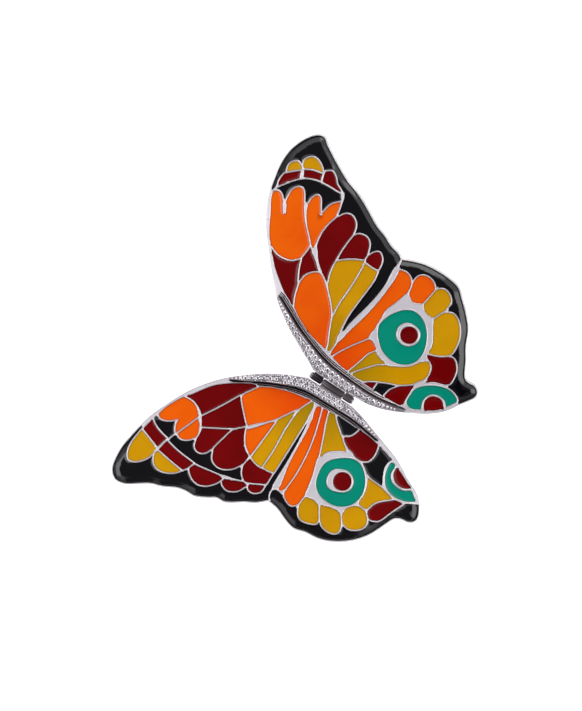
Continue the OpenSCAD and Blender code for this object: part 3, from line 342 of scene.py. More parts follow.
def noise(tree, scale, detail=3, distortion=0.0, stretch=(1, 1, 1)):
    place = tree.nodes.new("ShaderNodeTexCoord")
    size = tree.nodes.new("ShaderNodeMapping")
    size.inputs["Scale"].default_value = stretch
    tex = tree.nodes.new("ShaderNodeTexNoise")
    tex.inputs["Scale"].default_value = scale
    tex.inputs["Detail"].default_value = detail
    tex.inputs["Distortion"].default_value = distortion
    tree.links.new(place.outputs["Object"], size.inputs["Vector"])
    tree.links.new(size.outputs["Vector"], tex.inputs["Vector"])
    return tex.outputs["Fac"]


def ramp(tree, value, stops):
    node = tree.nodes.new("ShaderNodeValToRGB")
    while len(node.color_ramp.elements) < len(stops):
        node.color_ramp.elements.new(0.5)
    for element, (at, colour) in zip(node.color_ramp.elements, stops):
        element.position = at
        element.color = (*colour, 1)
    tree.links.new(value, node.inputs["Fac"])
    return node.outputs["Color"]


def bump(tree, shader, value, height):
    node = tree.nodes.new("ShaderNodeBump")
    node.inputs["Distance"].default_value = height
    node.inputs["Strength"].default_value = 1.0
    tree.links.new(value, node.inputs["Height"])
    tree.links.new(node.outputs["Normal"], shader.inputs["Normal"])


def metal(name, light, dark, rough, grain=0.0000015, shine=1.0):
    """Plated metal: tint drifts over a few millimetres, roughness over less, with fine polishing marks."""
    mat, tree, shader = material(name)
    tint = ramp(tree, noise(tree, 260, 2), [(0.35, dark), (0.65, light)])
    tree.links.new(tint, shader.inputs["Base Color"])
    shader.inputs["Metallic"].default_value = shine
    low, high = (0.9 * rough,) * 3, (1.12 * rough,) * 3
    worn = ramp(tree, noise(tree, 900, 4), [(0.3, low), (0.7, high)])
    tree.links.new(worn, shader.inputs["Roughness"])
    bump(tree, shader, noise(tree, 5000, 3, stretch=(1, 0.2, 1)), grain)
    return mat


def blend(tree, factor, a, b):
    """A colour between a, a fixed one, and b, a socket's."""
    node = tree.nodes.new("ShaderNodeMix")
    node.data_type = "RGBA"
    tree.links.new(factor, node.inputs["Factor"])
    node.inputs["A"].default_value = (*a, 1)
    tree.links.new(b, node.inputs["B"])
    return node.outputs["Result"]


def away_from_root(tree):
    """0 beside the hinge, 1 from ROOT_REACH outwards."""
    place = tree.nodes.new("ShaderNodeTexCoord")
    far = tree.nodes.new("ShaderNodeVectorMath")
    far.operation = "DISTANCE"
    far.inputs[1].default_value = HINGE
    tree.links.new(place.outputs["Object"], far.inputs[0])
    share = tree.nodes.new("ShaderNodeMapRange")
    share.inputs["From Min"].default_value = ROOT_FROM * MM
    share.inputs["From Max"].default_value = ROOT_REACH * MM
    tree.links.new(far.outputs["Value"], share.inputs["Value"])
    return share.outputs["Result"]


def enamel(name, light, dark, edge, root, index=1.4):
    """Glossy fired enamel: the colour drifts a little and deepens at the wing root; beside the walls it is
    darkened as painted shade.
    """
    mat, tree, shader = material(name)
    body = ramp(tree, noise(tree, 160, 3, 0.4), [(0.3, dark), (0.72, light)])
    body = blend(tree, away_from_root(tree), root, body)
    # painted shade: the colour darkens towards each wall, by the share kept in from_wall
    wall_shade = tree.nodes.new("ShaderNodeAttribute")
    wall_shade.attribute_name = "from_wall"
    tree.links.new(blend(tree, wall_shade.outputs["Fac"], edge, body), shader.inputs["Base Color"])
    gloss = ramp(tree, noise(tree, 700, 3), [(0.35, (0.06,) * 3), (0.75, (0.12,) * 3)])
    tree.links.new(gloss, shader.inputs["Roughness"])
    shader.inputs["IOR"].default_value = index
    bump(tree, shader, noise(tree, 420, 2), 0.000012)
    return mat


SILVER = metal("polished_silver_plate", (0.93, 0.895, 0.95), (0.88, 0.84, 0.9), 0.3, 0.0000001, 0.42)
WALL = metal("bright_wall_metal", (0.88, 0.84, 0.85), (0.78, 0.73, 0.76), 0.2, 0.0000001, 0.7)
BEAD = metal("polished_bead_metal", (0.9, 0.86, 0.88), (0.8, 0.75, 0.78), 0.07, 0.0000001, 1.0)
# The rail's metal is painted darker, as the shade in the gaps between its stones
SHADED_RAIL = metal("rail_metal_painted_shade", (0.6, 0.56, 0.6), (0.48, 0.44, 0.48), 0.28, 0.0000001, 0.75)
TARNISH = metal("tarnished_knuckle_metal", (0.42, 0.38, 0.39), (0.26, 0.225, 0.235), 0.3)
DARK = metal("dark_head_knuckle_metal", (0.12, 0.1, 0.115), (0.05, 0.04, 0.05), 0.25)
# The grooves' near-black colour is painted shade in the hollows between the ridges
GROOVE_SHADE = metal("groove_painted_shade", (0.07, 0.05, 0.05), (0.02, 0.015, 0.018), 0.3)
STEEL = metal("pin_steel", (0.5, 0.5, 0.52), (0.4, 0.4, 0.42), 0.2)
BACK = metal("plain_back_metal", (0.5, 0.48, 0.5), (0.4, 0.38, 0.4), 0.34)
FITTING = metal("pin_fitting_metal", (0.44, 0.43, 0.45), (0.34, 0.33, 0.35), 0.26)

# Each enamel: light and dark body colours, the painted shade beside its walls, its colour at the wing root,
# and its index where given
ENAMELS = {
    "black": enamel("black_enamel", (0.003, 0.003, 0.0045), (0.002, 0.002, 0.003),
                    (0.001, 0.001, 0.001), (0.005, 0.006, 0.009), 1.65),
    "yellow": enamel("mustard_enamel", (0.68, 0.335, 0.001), (0.6, 0.285, 0.001),
                     (0.28, 0.15, 0.006), (0.34, 0.22, 0.002)),
    "red": enamel("deep_red_enamel", (0.19, 0.001, 0.002), (0.14, 0.0005, 0.001),
                  (0.06, 0.0005, 0.001), (0.16, 0.001, 0.004)),
    "orange": enamel("orange_enamel", (0.93, 0.14, 0.001), (0.86, 0.1, 0.001),
                     (0.42, 0.035, 0.001), (0.8, 0.06, 0.001)),
    "teal": enamel("blue_green_enamel", (0.001, 0.29, 0.2), (0.001, 0.25, 0.17),
                   (0.001, 0.11, 0.07), (0.001, 0.27, 0.19)),
}


def stone_finish():
    mat, tree, shader = material("foiled_clear_stone")
    tint = ramp(tree, noise(tree, 1400, 1), [(0.35, (0.72, 0.7, 0.76)), (0.65, (0.97, 0.97, 1.0))])
    tree.links.new(tint, shader.inputs["Base Color"])
    shader.inputs["Metallic"].default_value = 0.9
    shader.inputs["Roughness"].default_value = 0.05
    shader.inputs["Coat Weight"].default_value = 1.0
    shader.inputs["Coat Roughness"].default_value = 0.02
    bump(tree, shader, noise(tree, 3500, 1), 0.000004)
    return mat


STONE = stone_finish()


# ---------------------------------------------------------------- enamel and its walls


def cell_plan(rims):
    """Plan points that fill a cell, finer beside its walls, and the triangles that join them."""
    outer, holes = rims[0], rims[1:]
    rings = []
    for rim in rims:
        for inset in INSETS:
            ring = moved_out(rim, -inset)
            clear = gap_to(ring, rims) > 0.93 * inset
            rings.append(ring[clear & is_inside(ring, outer, holes)])
    low, high = outer.min(0), outer.max(0)
    gx, gy = np.meshgrid(np.arange(low[0], high[0], GRID_STEP), np.arange(low[1], high[1], GRID_STEP))
    gx = gx + GRID_STEP / 2 * (np.arange(gx.shape[0]) % 2)[:, None]
    grid = np.stack([gx.ravel(), gy.ravel()], axis=1)
    grid = grid[is_inside(grid, outer, holes)]
    grid = grid[gap_to(grid, rims) > GRID_FROM]
    points = np.concatenate(rims + rings + [grid])
    constraint, start = [], 0
    for rim in rims:
        constraint += [(start + i, start + (i + 1) % len(rim)) for i in range(len(rim))]
        start += len(rim)
    co, _, tris, _, _, _ = delaunay_2d_cdt([Vector(p) for p in points], constraint, [], 0, 1e-5)
    flat = np.array([tuple(c) for c in co])
    keep = is_inside(np.array([flat[list(t)].mean(0) for t in tris]), outer, holes)
    upward = []
    for (a, b, c), kept in zip(tris, keep):
        if kept:
            u, v = flat[b] - flat[a], flat[c] - flat[a]
            upward.append((a, b, c) if u[0] * v[1] - u[1] * v[0] > 0 else (a, c, b))
    return flat, upward


def glaze(regions, side, name, body, colour, edge_of_wing):
    """Enamel in each cell: it climbs to its walls, and the black margin rolls down at the wing's edge."""
    verts, faces, from_wall = [], [], []
    for region in regions:
        rims = [smoothed(loop) for loop in loops_of([region])]
        flat, tris = cell_plan(rims)
        gap = gap_to(flat, rims)
        roll = np.clip(1 - gap_to(flat, [edge_of_wing]) / ROLL_W, 0, 1) if colour == "black" else 0 * gap
        dip = GLAZE_DIP * (1 - np.exp(-gap / GLAZE_SOFT)) * (1 - roll)
        level = dome(side, flat)
        top = len(verts)
        verts += [(x, y, z) for (x, y), z in zip(flat, level + GLAZE_EDGE - dip - ROLL_DROP * roll**2)]
        # share of the full colour, 0 at a wall where the painted shade is deepest
        from_wall += list(np.clip(gap / WALL_SHADE_REACH, 0, 1))
        faces += [(top + a, top + b, top + c) for a, b, c in tris]
        # underside and sides
        under = len(verts)
        verts += [(x, y, z) for (x, y), z in zip(flat, level + GLAZE_BACK)]
        from_wall += [0.0] * len(flat)
        faces += [(under + a, under + c, under + b) for a, b, c in tris]
        edges = [edge for a, b, c in tris for edge in ((a, b), (b, c), (c, a))]
        shared = set(edges)
        faces += [(top + b, top + a, under + a, under + b) for a, b in edges if (b, a) not in shared]
    piece = new_piece(name, verts, faces, side, body, ENAMELS[colour])
    layer = piece.data.attributes.new("from_wall", "FLOAT", "POINT")
    layer.data.foreach_set("value", np.array(from_wall, np.float32))
    piece.data.polygons.foreach_set("use_smooth", [abs(p.normal.z) >= 0.5 for p in piece.data.polygons])
    if colour == "black":
        roll_shading(piece, side, edge_of_wing)
    return piece


def roll_shading(piece, side, edge_of_wing):
    """Tilts the shading of the margin outwards, as a fuller roll at the rim would."""
    mesh = piece.data
    count = len(mesh.vertices)
    flat = np.zeros(3 * count)
    mesh.vertices.foreach_get("co", flat)
    pose = wing_pose(side)
    back = np.array(pose.inverted())
    flat = (flat.reshape(-1, 3) @ back[:3, :3].T + back[:3, 3])[:, :2]
    gap = gap_to(flat, [edge_of_wing])
    slope = np.stack([gap_to(flat + step, [edge_of_wing]) - gap for step in ((0.01, 0), (0, 0.01))], axis=1)
    slope /= np.maximum(np.linalg.norm(slope, axis=1), 1e-9)[:, None]
    tilt = ROLL_TILT * np.clip((ROLL_W - gap) / ROLL_START, 0, 1)
    turn = pose.to_3x3().normalized()
    normals = []
    for vertex, way, angle in zip(mesh.vertices, slope, tilt):
        out = turn @ Vector((-way[0], -way[1], 0))
        leaning = (vertex.normal + math.tan(angle) * out).normalized()
        normals.append(leaning if vertex.normal.z > 0.3 else vertex.normal)
    mesh.normals_split_custom_set_from_vertices(normals)


def wires(paths, side, name, body, radius, sunk, finish):
    """Round wires laid along plan paths on a wing. Each path is (points, closed)."""
    curve = bpy.data.curves.new(name, "CURVE")
    curve.dimensions = "3D"
    curve.twist_mode = "Z_UP"
    curve.bevel_depth = radius
    curve.bevel_resolution = 2
    curve.use_fill_caps = True
    for points, closed in paths:
        spline = curve.splines.new("POLY")
        spline.points.add(len(points) - 1)
        height = dome(side, points) - sunk
        for point, (x, y), z in zip(spline.points, points, height):
            point.co = (x, y, z, 1)
        spline.use_cyclic_u = closed
        spline.use_smooth = True
    obj = bpy.data.objects.new(name, curve)
    bpy.context.scene.collection.objects.link(obj)
    choose(obj)
    bpy.ops.object.convert(target="MESH")
    obj = bpy.context.view_layer.objects.active
    obj.data.transform(wing_pose(side))
    finish_piece(obj, body, finish)


HUES = ("black", "yellow", "red", "orange", "teal")
regions_of = {side: [] for side in WINGS}
moves_of = {side: [] for side in WINGS}
edge_of = {}
for side in WINGS:
    body = side + "_wing"
    edge_of[side] = max((outer for outer, _ in top_regions(side + "_wing_plate", side)), key=area)
    cells = {}
    for part in ("forewing", "hindwing"):
        for colour in HUES:
            node = f"{side}_{part}_{colour}_enamel"
            if node in nodes:
                cells[node] = (part, colour, top_regions(node, side))
    eyes = [outer for _, colour, regions in cells.values() if colour == "teal" for outer, _ in regions]
    for node, (part, colour, regions) in cells.items():
        if colour != "teal":
            others = [loop for name, cell in cells.items() if name != node for loop in loops_of(cell[2])]
            pupils = [r for r in regions if any(inside(r[0][0], eye) for eye in eyes)]
            open_cells = [r for r in regions if not any(inside(r[0][0], eye) for eye in eyes)]
            regions, moves = widened(open_cells, others, edge_of[side])
            regions += pupils
            moves_of[side] += moves
        piece = glaze(regions, side, f"{side}_{part}_{colour}_glaze", body, colour, edge_of[side])
        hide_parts(node)
        regions_of[side] += regions

for side in WINGS:
    body = side + "_wing"
    walls = [(moved_out(smoothed(loop, WIRE_STEP), WIRE_OUT), True) for loop in loops_of(regions_of[side])]
    wires(walls, side, side + "_wing_cell_walls", body, WIRE_R, WIRE_SUNK, WALL)
    rim = moved_out(smoothed(edge_of[side], WIRE_STEP), -RIM_WIRE_R)
    wires([(rim, True)], side, side + "_wing_rim", body, RIM_WIRE_R, WIRE_SUNK, WALL)


# ---------------------------------------------------------------- stone rails


def islands(node, side):
    """A node's solids from head to tail, each as its plan middle and its foot, in the wing's frame."""
    bm = wing_mesh(node, side)
    seen, middles = set(), []
    for vert in bm.verts:
        if vert in seen:
            continue
        group, waiting = [], [vert]
        seen.add(vert)
        while waiting:
            at = waiting.pop()
            group.append(at.co)
            for edge in at.link_edges:
                other = edge.other_vert(at)
                if other not in seen:
                    seen.add(other)
                    waiting.append(other)
        low = Vector(min(c[i] for c in group) for i in range(3))
        high = Vector(max(c[i] for c in group) for i in range(3))
        middles.append(((low.x + high.x) / 2, (low.y + high.y) / 2, low.z))
    bm.free()
    return sorted(middles, key=lambda m: -m[1])


STONE_R = 0.43
STONE_GIRDLE = 0.36
STONE_CROWN = 0.52
STONE_TABLE = 0.6
# How far a stone may sit out of level, as a slope
STONE_LEAN = 0.055


def cut_stone():
    """A brilliant: culet, pavilion, girdle, upper facets, star facets and an eight-sided table."""
    verts = [(0, 0, 0.02)]
    rings = []
    for count, radius, height, offset in (
        (8, 0.55 * STONE_R, 0.5 * STONE_GIRDLE, 0.5),
        (16, STONE_R, STONE_GIRDLE - 0.02, 0),
        (16, STONE_R, STONE_GIRDLE + 0.03, 0),
        (8, 0.78 * STONE_R, STONE_CROWN, 0),
        (8, 0.5 * STONE_R, STONE_TABLE, 0.5),
    ):
        rings.append([len(verts) + k for k in range(count)])
        for k in range(count):
            angle = 2 * math.pi * (k + offset) / count
            verts.append((radius * math.cos(angle), radius * math.sin(angle), height))
    pav, low, high, mid, table = rings
    faces = []
    for k in range(8):
        n = (k + 1) % 8
        faces.append((0, pav[n], pav[k]))
        faces.append((pav[k], pav[n], low[(2 * k + 2) % 16]))
        faces.append((pav[k], low[(2 * k + 2) % 16], low[(2 * k + 1) % 16]))
        faces.append((pav[k], low[(2 * k + 1) % 16], low[(2 * k) % 16]))
        faces.append((high[2 * k], high[2 * k + 1], mid[k]))
        faces.append((high[2 * k + 1], high[(2 * k + 2) % 16], mid[n]))
        faces.append((high[2 * k + 1], mid[n], table[k], mid[k]))
        faces.append((mid[n], table[n], table[k]))
    for k in range(16):
        faces.append((low[k], low[(k + 1) % 16], high[(k + 1) % 16], high[k]))
    faces.append(tuple(table))
    return verts, faces


def ball(radius, rounds=3, sides=8):
    """A small round bead, a few dozen faces."""
    verts = [(0, 0, -radius)]
    for r in range(1, rounds + 1):
        polar = math.pi * r / (rounds + 1)
        out = radius * math.sin(polar)
        for k in range(sides):
            angle = 2 * math.pi * k / sides
            verts.append((out * math.cos(angle), out * math.sin(angle), -radius * math.cos(polar)))
    top = len(verts)
    verts.append((0, 0, radius))
    faces = [(0, 1 + (k + 1) % sides, 1 + k) for k in range(sides)]
    for r in range(rounds - 1):
        a, b = 1 + r * sides, 1 + (r + 1) * sides
        faces += [(a + k, a + (k + 1) % sides, b + (k + 1) % sides, b + k) for k in range(sides)]
    last = 1 + (rounds - 1) * sides
    faces += [(last + k, last + (k + 1) % sides, top) for k in range(sides)]
    return verts, faces


def repeated(shape, places, name, side, body, finish, smooth):
    """One mesh holding a copy of a shape at each place: (x, y, z, turn, size, lean across, lean along)."""
    verts, faces = [], []
    for x, y, z, turn, size, across, along in places:
        base = len(verts)
        c, s = math.cos(turn) * size, math.sin(turn) * size
        for vx, vy, vz in shape[0]:
            px, py = c * vx - s * vy, s * vx + c * vy
            verts.append((x + px, y + py, z + size * vz + across * px + along * py))
        faces += [tuple(base + i for i in face) for face in shape[1]]
    return new_piece(name, verts, faces, side, body, finish, smooth)


RAIL_TOP = 1.0
BEAD_R = 0.14
# How far the beads between the stones stand above the rail
BEAD_LIFT = 0.06


def bead_places(stones):
    """Beads that hold the stones: beside each pair of neighbours, just clear of both."""
    spots = []
    reach = STONE_R + 0.07
    for i, a in enumerate(stones):
        for b in stones[i + 1:]:
            pa, pb = np.array(a[:2]), np.array(b[:2])
            d = np.linalg.norm(pb - pa)
            if d > 1.1:
                continue
            way = (pb - pa) / d
            off = math.sqrt(max(0.0004, reach**2 - d * d / 4))
            for sign in (-1, 1):
                spots.append((pa + pb) / 2 + sign * off * np.array([-way[1], way[0]]))
    kept = []
    for spot in spots:
        close = [k for k in kept if np.linalg.norm(k - spot) < 0.17]
        if close:
            close[0][:] = (close[0] + spot) / 2
        elif all(np.linalg.norm(spot - np.array(s[:2])) > STONE_R - 0.04 for s in stones):
            kept.append(spot.copy())
    return kept


def margin_beads(outline, stones, beads):
    """Small beads along the rail's edges where the stones leave room."""
    middles = np.array([s[:2] for s in stones])
    kept = []
    line = even(np.concatenate([outline, outline[:1]]), 0.3)
    way = np.roll(line, -1, axis=0) - np.roll(line, 1, axis=0)
    way /= np.maximum(np.linalg.norm(way, axis=1), 1e-9)[:, None]
    turn = 1 if area(outline) > 0 else -1
    for spot in line + 0.15 * turn * np.stack([-way[:, 1], way[:, 0]], axis=1):
        to_stone = np.linalg.norm(middles - spot, axis=1).min()
        taken = beads + kept
        if STONE_R + 0.08 < to_stone < 0.95 and min(np.linalg.norm(spot - k) for k in taken) > 0.24:
            kept.append(spot)
    return kept


def end_beads(outline, stones):
    """Beads that carry each rail's row on past its last stones, smaller and smaller, each with its size."""
    kept = []
    for last, before in ((stones[0], stones[1]), (stones[-1], stones[-2])):
        spot, way = np.array(last[:2]), np.array(last[:2]) - np.array(before[:2])
        way /= np.linalg.norm(way)
        for number, size in enumerate((2.2, 1.9, 1.6, 1.3)):
            spot = spot + (0.78 - 0.08 * number) * way
            # keeps to the middle of the rail where it bends
            across = np.array([-way[1], way[0]])
            reach = [k * 0.05 for k in range(-12, 13) if inside(spot + k * 0.05 * across, outline)]
            if not reach:
                break
            spot = spot + (reach[0] + reach[-1]) / 2 * across
            room = gap_to(spot[None], [outline])[0]
            if room < 0.13:
                break
            kept.append((spot, min(size, room / BEAD_R)))
    return kept


def rail_outline(side):
    """The rail's outline on the wing, anticlockwise from its head end."""
    bm = wing_mesh(side + "_stone_rail", side)
    foot = [face for face in bm.faces if face.normal.z < -0.8 and abs(over_dome(face, side)) < 0.05]
    loops = outlines(bm, foot)
    bm.free()
    # faces that look down have clockwise outlines
    return np.roll(max(loops, key=lambda loop: abs(area(loop)))[::-1], 1, axis=0)


def outer_side(loop, side):
    """The stretch of a rail's outline that faces the enamel, from the head end to the tail end."""
    head, tail = int(loop[:, 1].argmax()), int(loop[:, 1].argmin())
    count = len(loop)
    one = [loop[(head + k) % count] for k in range((tail - head) % count + 1)]
    two = [loop[(head - k) % count] for k in range((head - tail) % count + 1)]
    sign = WINGS[side][0]
    return np.array(max((one, two), key=lambda path: np.mean([sign * p[0] for p in path])))


def even(path, step):
    """Points at even distances along an open path."""
    seg = np.linalg.norm(np.diff(path, axis=0), axis=1)
    far = np.concatenate([[0], np.cumsum(seg)])
    at = np.linspace(0, far[-1], max(2, int(far[-1] / step)))
    return np.stack([np.interp(at, far, path[:, 0]), np.interp(at, far, path[:, 1])], axis=1)


def beside(path, distance):
    way = np.gradient(path, axis=0)
    way /= np.linalg.norm(way, axis=1)[:, None]
    return path + distance * np.stack([-way[:, 1], way[:, 0]], axis=1)


def softened(path, times=6):
    for _ in range(times):
        path = np.concatenate([path[:1], (path[:-2] + 2 * path[1:-1] + path[2:]) / 4, path[-1:]])
    return path


def runs_of(fits):
    """Stretches of neighbouring True values, as lists of their numbers."""
    runs, run = [], []
    for k, fit in enumerate(list(fits) + [False]):
        if fit:
            run.append(k)
        elif run:
            runs.append(run)
            run = []
    return runs


def set_rail(side, rail_loop):
    """The stones, each turned and tipped a little, and the beads that hold them."""
    body = side + "_wing"
    stones = islands(side + "_rail_stones", side)
    rng = np.random.default_rng(7)
    places = [(x, y, low, rng.uniform(0, math.pi), rng.uniform(0.92, 1.0), *rng.normal(0, STONE_LEAN, 2))
              for x, y, low in stones]
    piece = repeated(cut_stone(), places, side + "_rail_brilliants", side, body, STONE, False)
    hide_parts(side + "_rail_stones")
    beads = bead_places(stones)
    beads += margin_beads(rail_loop, stones, beads)
    sized = [(bead, BEAD_LIFT, rng.uniform(0.85, 1.1)) for bead in beads]
    sized += [(bead, 0.0, size) for bead, size in end_beads(rail_loop, stones)]
    level = [(x, y, dome(side, [(x, y)])[0] + RAIL_TOP + lift, 0.0, size, 0.0, 0.0)
             for (x, y), lift, size in sized]
    repeated(ball(BEAD_R), level, side + "_rail_beads", side, body, BEAD, True)


# Distance from the rail and radius of each polished ridge and, under them, of each dark groove
RIDGES = ((0.4, 0.065), (0.7, 0.065))
GROOVES = tuple((0.06 + 0.13 * k, 0.11) for k in range(7))


def rail_lines(side, rail_loop):
    """Polished ridges on a bed of dark grooves, between the rail and the enamel; the grooves' dark colour is
    painted shade.
    """
    cells = [outer for outer, _ in regions_of[side]]
    edge = softened(even(outer_side(rail_loop, side), 0.25))
    for number, (distance, radius) in enumerate(RIDGES + GROOVES):
        path = beside(edge, distance * WINGS[side][0])
        fits = is_inside(path, edge_of[side], []) & (gap_to(path, [edge_of[side]]) > 0.12)
        fits &= gap_to(path, cells) > 0.08
        fits &= ~np.any([is_inside(path, cell, []) for cell in cells], axis=0)
        ridge = number < len(RIDGES)
        kind, place = ("ridge", number + 1) if ridge else ("groove", number + 1 - len(RIDGES))
        lines = [(path[run], False) for run in runs_of(fits) if len(run) > 8]
        wires(lines, side, f"{side}_rail_{kind}_{place}", side + "_wing", radius,
              -0.03 if ridge else 0.07, BEAD if ridge else GROOVE_SHADE)


for side in WINGS:
    rail_loop = rail_outline(side)
    set_rail(side, rail_loop)
    rail_lines(side, rail_loop)
    # the rail's own metal is the darker one: painted shade between the stones
    for socket in nodes[side + "_stone_rail"].material_slots:
        socket.material = SHADED_RAIL


# ---------------------------------------------------------------- wing plates


def merged_copy(node, name, flatten=None):
    """A copy of a node's mesh with doubled points merged, and faces joined that lie flatter than an angle."""
    obj = bpy.data.objects.new(name, nodes[node].data.copy())
    bpy.context.scene.collection.objects.link(obj)
    choose(obj)
    bpy.ops.object.mode_set(mode="EDIT")
    bpy.ops.mesh.select_all(action="SELECT")
    bpy.ops.mesh.remove_doubles(threshold=MERGE * MM)
    if flatten:
        bpy.ops.mesh.dissolve_limited(angle_limit=flatten)
    bpy.ops.object.mode_set(mode="OBJECT")
    return obj


def thinned_plate(side):
    """The wing plate with its pockets widened as the enamel is."""
    node = side + "_wing_plate"
    obj = merged_copy(node, node + "_finished")
    pose = wing_pose(side)
    obj.data.transform(pose.inverted())
    places = np.zeros(3 * len(obj.data.vertices))
    obj.data.vertices.foreach_get("co", places)
    places = places.reshape(-1, 3)
    # the plate's back stays as it is
    front = places[:, 2] > dome(side, places[:, :2]) - 0.6
    places[front, :2] += carried(places[front, :2], moves_of[side])
    obj.data.vertices.foreach_set("co", places.ravel())
    obj.data.transform(pose)
    finish_piece(obj, side + "_wing", SILVER)
    choose(obj)
    bpy.ops.object.shade_smooth_by_angle(angle=math.radians(30))
    dome_shading(obj.data, side)
    # the plate's sides and back have a plainer finish than its front
    obj.data.materials.append(BACK)
    up = (pose.to_3x3() @ Vector((0, 0, 1))).normalized()
    for face in obj.data.polygons:
        face.material_index = int(face.normal.dot(up) < 0.6)
    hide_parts(node)


def dome_shading(mesh, side):
    """Shades faces that lie on the dome as one smooth dome."""
    pose = wing_pose(side)
    back = pose.inverted()
    middle = Vector((WINGS[side][0] * CROWN_OUT, CROWN_ALONG, CROWN_H - DOME_R))
    turn = pose.to_3x3().normalized()
    normals = [Vector(corner.vector) for corner in mesh.corner_normals]
    for face in mesh.polygons:
        for corner, number in zip(face.loop_indices, face.vertices):
            way = (turn @ (back @ mesh.vertices[number].co - middle)).normalized()
            if abs(face.normal.dot(way)) > 0.985:
                normals[corner] = way if face.normal.dot(way) > 0 else -way
    mesh.normals_split_custom_set(normals)


for side in WINGS:
    thinned_plate(side)


# ---------------------------------------------------------------- hinge and pin fitting


def eased(node, body, finish, width):
    """A node's shape with its sharp edges rounded."""
    obj = merged_copy(node, node + "_finished", math.radians(1.5))
    edge = obj.modifiers.new("edge", "BEVEL")
    edge.width = width * MM
    edge.segments = 3
    edge.limit_method = "ANGLE"
    edge.angle_limit = math.radians(38)
    edge.use_clamp_overlap = True
    bpy.ops.object.modifier_apply(modifier="edge")
    bpy.ops.object.mode_set(mode="EDIT")
    bpy.ops.mesh.select_all(action="SELECT")
    bpy.ops.mesh.remove_doubles(threshold=MERGE * MM / 2)
    bpy.ops.mesh.quads_convert_to_tris()
    bpy.ops.object.mode_set(mode="OBJECT")
    finish_piece(obj, body, finish)
    choose(obj)
    bpy.ops.object.shade_smooth_by_angle(angle=math.radians(35))
    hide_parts(node)


for node, body, finish, slot, width in (
    ("left_knuckle", "left_wing", TARNISH, "dull_silver", 0.05),
    ("right_head_knuckle", "right_wing", DARK, "dull_silver", 0.05),
    ("right_tail_knuckle", "right_wing", TARNISH, "dull_silver", 0.05),
    ("hinge_rod", "right_wing", STEEL, "steel", 0.04),
    ("pin_joint", "right_wing", FITTING, "silver_plate", 0.1),
    ("pin_rivet", "right_wing", STEEL, "steel", 0.04),
    ("pin_stem", "pin_stem", STEEL, "steel", 0.04),
    ("catch_housing", "right_wing", FITTING, "silver_plate", 0.1),
    ("catch_sleeve", "catch_sleeve", FITTING, "silver_plate", 0.05),
):
    eased(node, body, finish, width)


# ---------------------------------------------------------------- floor, light and camera

VIEW_TURN = math.radians(33)
VIEW_RIGHT = Vector((math.sin(VIEW_TURN), -math.cos(VIEW_TURN), 0))
VIEW_UP = Vector((math.cos(VIEW_TURN), math.sin(VIEW_TURN), 0))
VIEW_MIDDLE = Vector((-0.05, 6.6, 0)) * MM
FRAME_HEIGHT = 113.8 * MM
LENS = 150
SENSOR = 36

# Low enough for the open pin and the lowered wing to hang clear of it
FLOOR_DROP = 0.03
FLOOR_GLOW = 0.43
SOFTBOX_SIZE = 0.8
SOFTBOX_POWER = 3.0


def floor_finish():
    mat, tree, shader = material("white_sweep")
    tint = ramp(tree, noise(tree, 12, 2), [(0.3, (0.93, 0.93, 0.935)), (0.7, (0.95, 0.95, 0.955))])
    tree.links.new(tint, shader.inputs["Base Color"])
    shader.inputs["Roughness"].default_value = 0.9
    shader.inputs["Emission Color"].default_value = (1, 1, 1, 1)
    shader.inputs["Emission Strength"].default_value = FLOOR_GLOW
    return mat


bpy.ops.mesh.primitive_plane_add(size=3, location=(0, 0, -FLOOR_DROP))
floor = bpy.context.active_object
floor.name = "floor"
floor.data.materials.append(floor_finish())


def softbox(name, place):
    """A square lamp that faces the brooch."""
    light = bpy.data.lights.new(name, "AREA")
    light.shape = "RECTANGLE"
    light.size = SOFTBOX_SIZE
    light.size_y = SOFTBOX_SIZE
    light.energy = SOFTBOX_POWER
    obj = bpy.data.objects.new(name, light)
    bpy.context.scene.collection.objects.link(obj)
    obj.location = place
    obj.rotation_euler = (-Vector(place)).to_track_quat("-Z", "Y").to_euler()


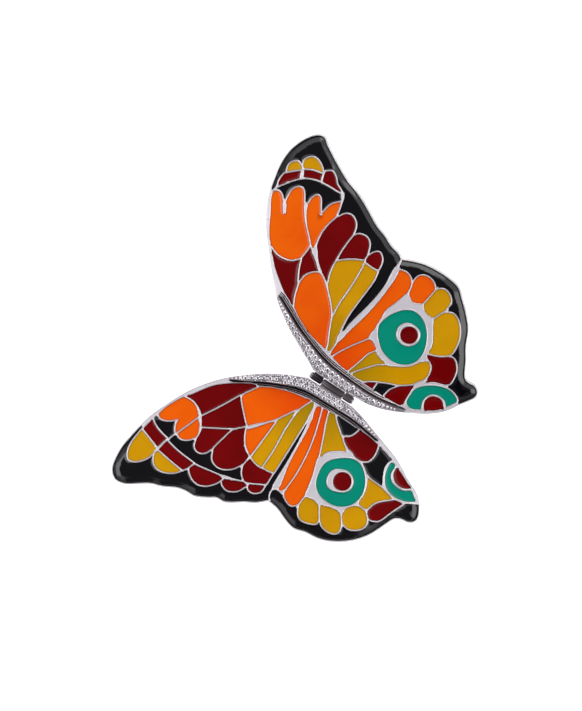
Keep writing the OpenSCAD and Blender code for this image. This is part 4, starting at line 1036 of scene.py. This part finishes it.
# A white tent, with a dark opening overhead that leans to the left wing, and a dark screen on the near side
OPENING_TILT = math.radians(8)
SCREEN_LEAN = math.radians(52)
DARK_SIDE = tuple(-math.sin(SCREEN_LEAN) * VIEW_UP + math.cos(SCREEN_LEAN) * Vector((0, 0, 1)))
world = bpy.context.scene.world or bpy.data.worlds.new("studio")
bpy.context.scene.world = world
world.use_nodes = True
sky = world.node_tree
place = sky.nodes.new("ShaderNodeTexCoord")


def facing(way, stops):
    """A ramp on the sky's direction: 1 along the way given, 0 across it."""
    along = sky.nodes.new("ShaderNodeVectorMath")
    along.operation = "DOT_PRODUCT"
    along.inputs[1].default_value = way
    sky.links.new(place.outputs["Generated"], along.inputs[0])
    return ramp(sky, along.outputs["Value"], stops)


opening = facing((-math.sin(OPENING_TILT), 0, math.cos(OPENING_TILT)),
                 [(0.15, (0.95, 0.95, 0.95)), (0.865, (0.95, 0.94, 0.97)), (0.895, (0.1, 0.09, 0.1))])
screen = facing(DARK_SIDE, [(0.87, (1, 1, 1)), (0.91, (0.12, 0.12, 0.13))])
# the tent's walls are dim near the table, which keeps the enamel's colour at low angles
walls = facing((0, 0, 1), [(0.1, (0.3, 0.3, 0.31)), (0.5, (1, 1, 1))])
sky_colour = opening
for layer in (screen, walls):
    product = sky.nodes.new("ShaderNodeMix")
    product.data_type = "RGBA"
    product.blend_type = "MULTIPLY"
    product.inputs["Factor"].default_value = 1.0
    sky.links.new(sky_colour, product.inputs["A"])
    sky.links.new(layer, product.inputs["B"])
    sky_colour = product.outputs["Result"]
sky.links.new(sky_colour, sky.nodes["Background"].inputs["Color"])
sky.nodes["Background"].inputs["Strength"].default_value = 1.0

softbox("head_softbox", (-0.55, 0.65, 0.65))
softbox("right_softbox", (0.85, 0.25, 0.6))
softbox("tail_softbox", (0.2, -0.9, 0.6))
bpy.context.scene.view_settings.view_transform = "Standard"

camera = bpy.data.cameras.new("camera")
camera.lens = LENS
camera.sensor_width = SENSOR
camera.clip_start = 0.01
camera.clip_end = 5
camera_object = bpy.data.objects.new("camera", camera)
bpy.context.scene.collection.objects.link(camera_object)
distance = LENS * FRAME_HEIGHT / SENSOR
turn = Matrix((VIEW_RIGHT, VIEW_UP, Vector((0, 0, 1)))).transposed().to_4x4()
camera_object.matrix_world = Matrix.Translation(VIEW_MIDDLE + Vector((0, 0, distance))) @ turn
bpy.context.scene.camera = camera_object
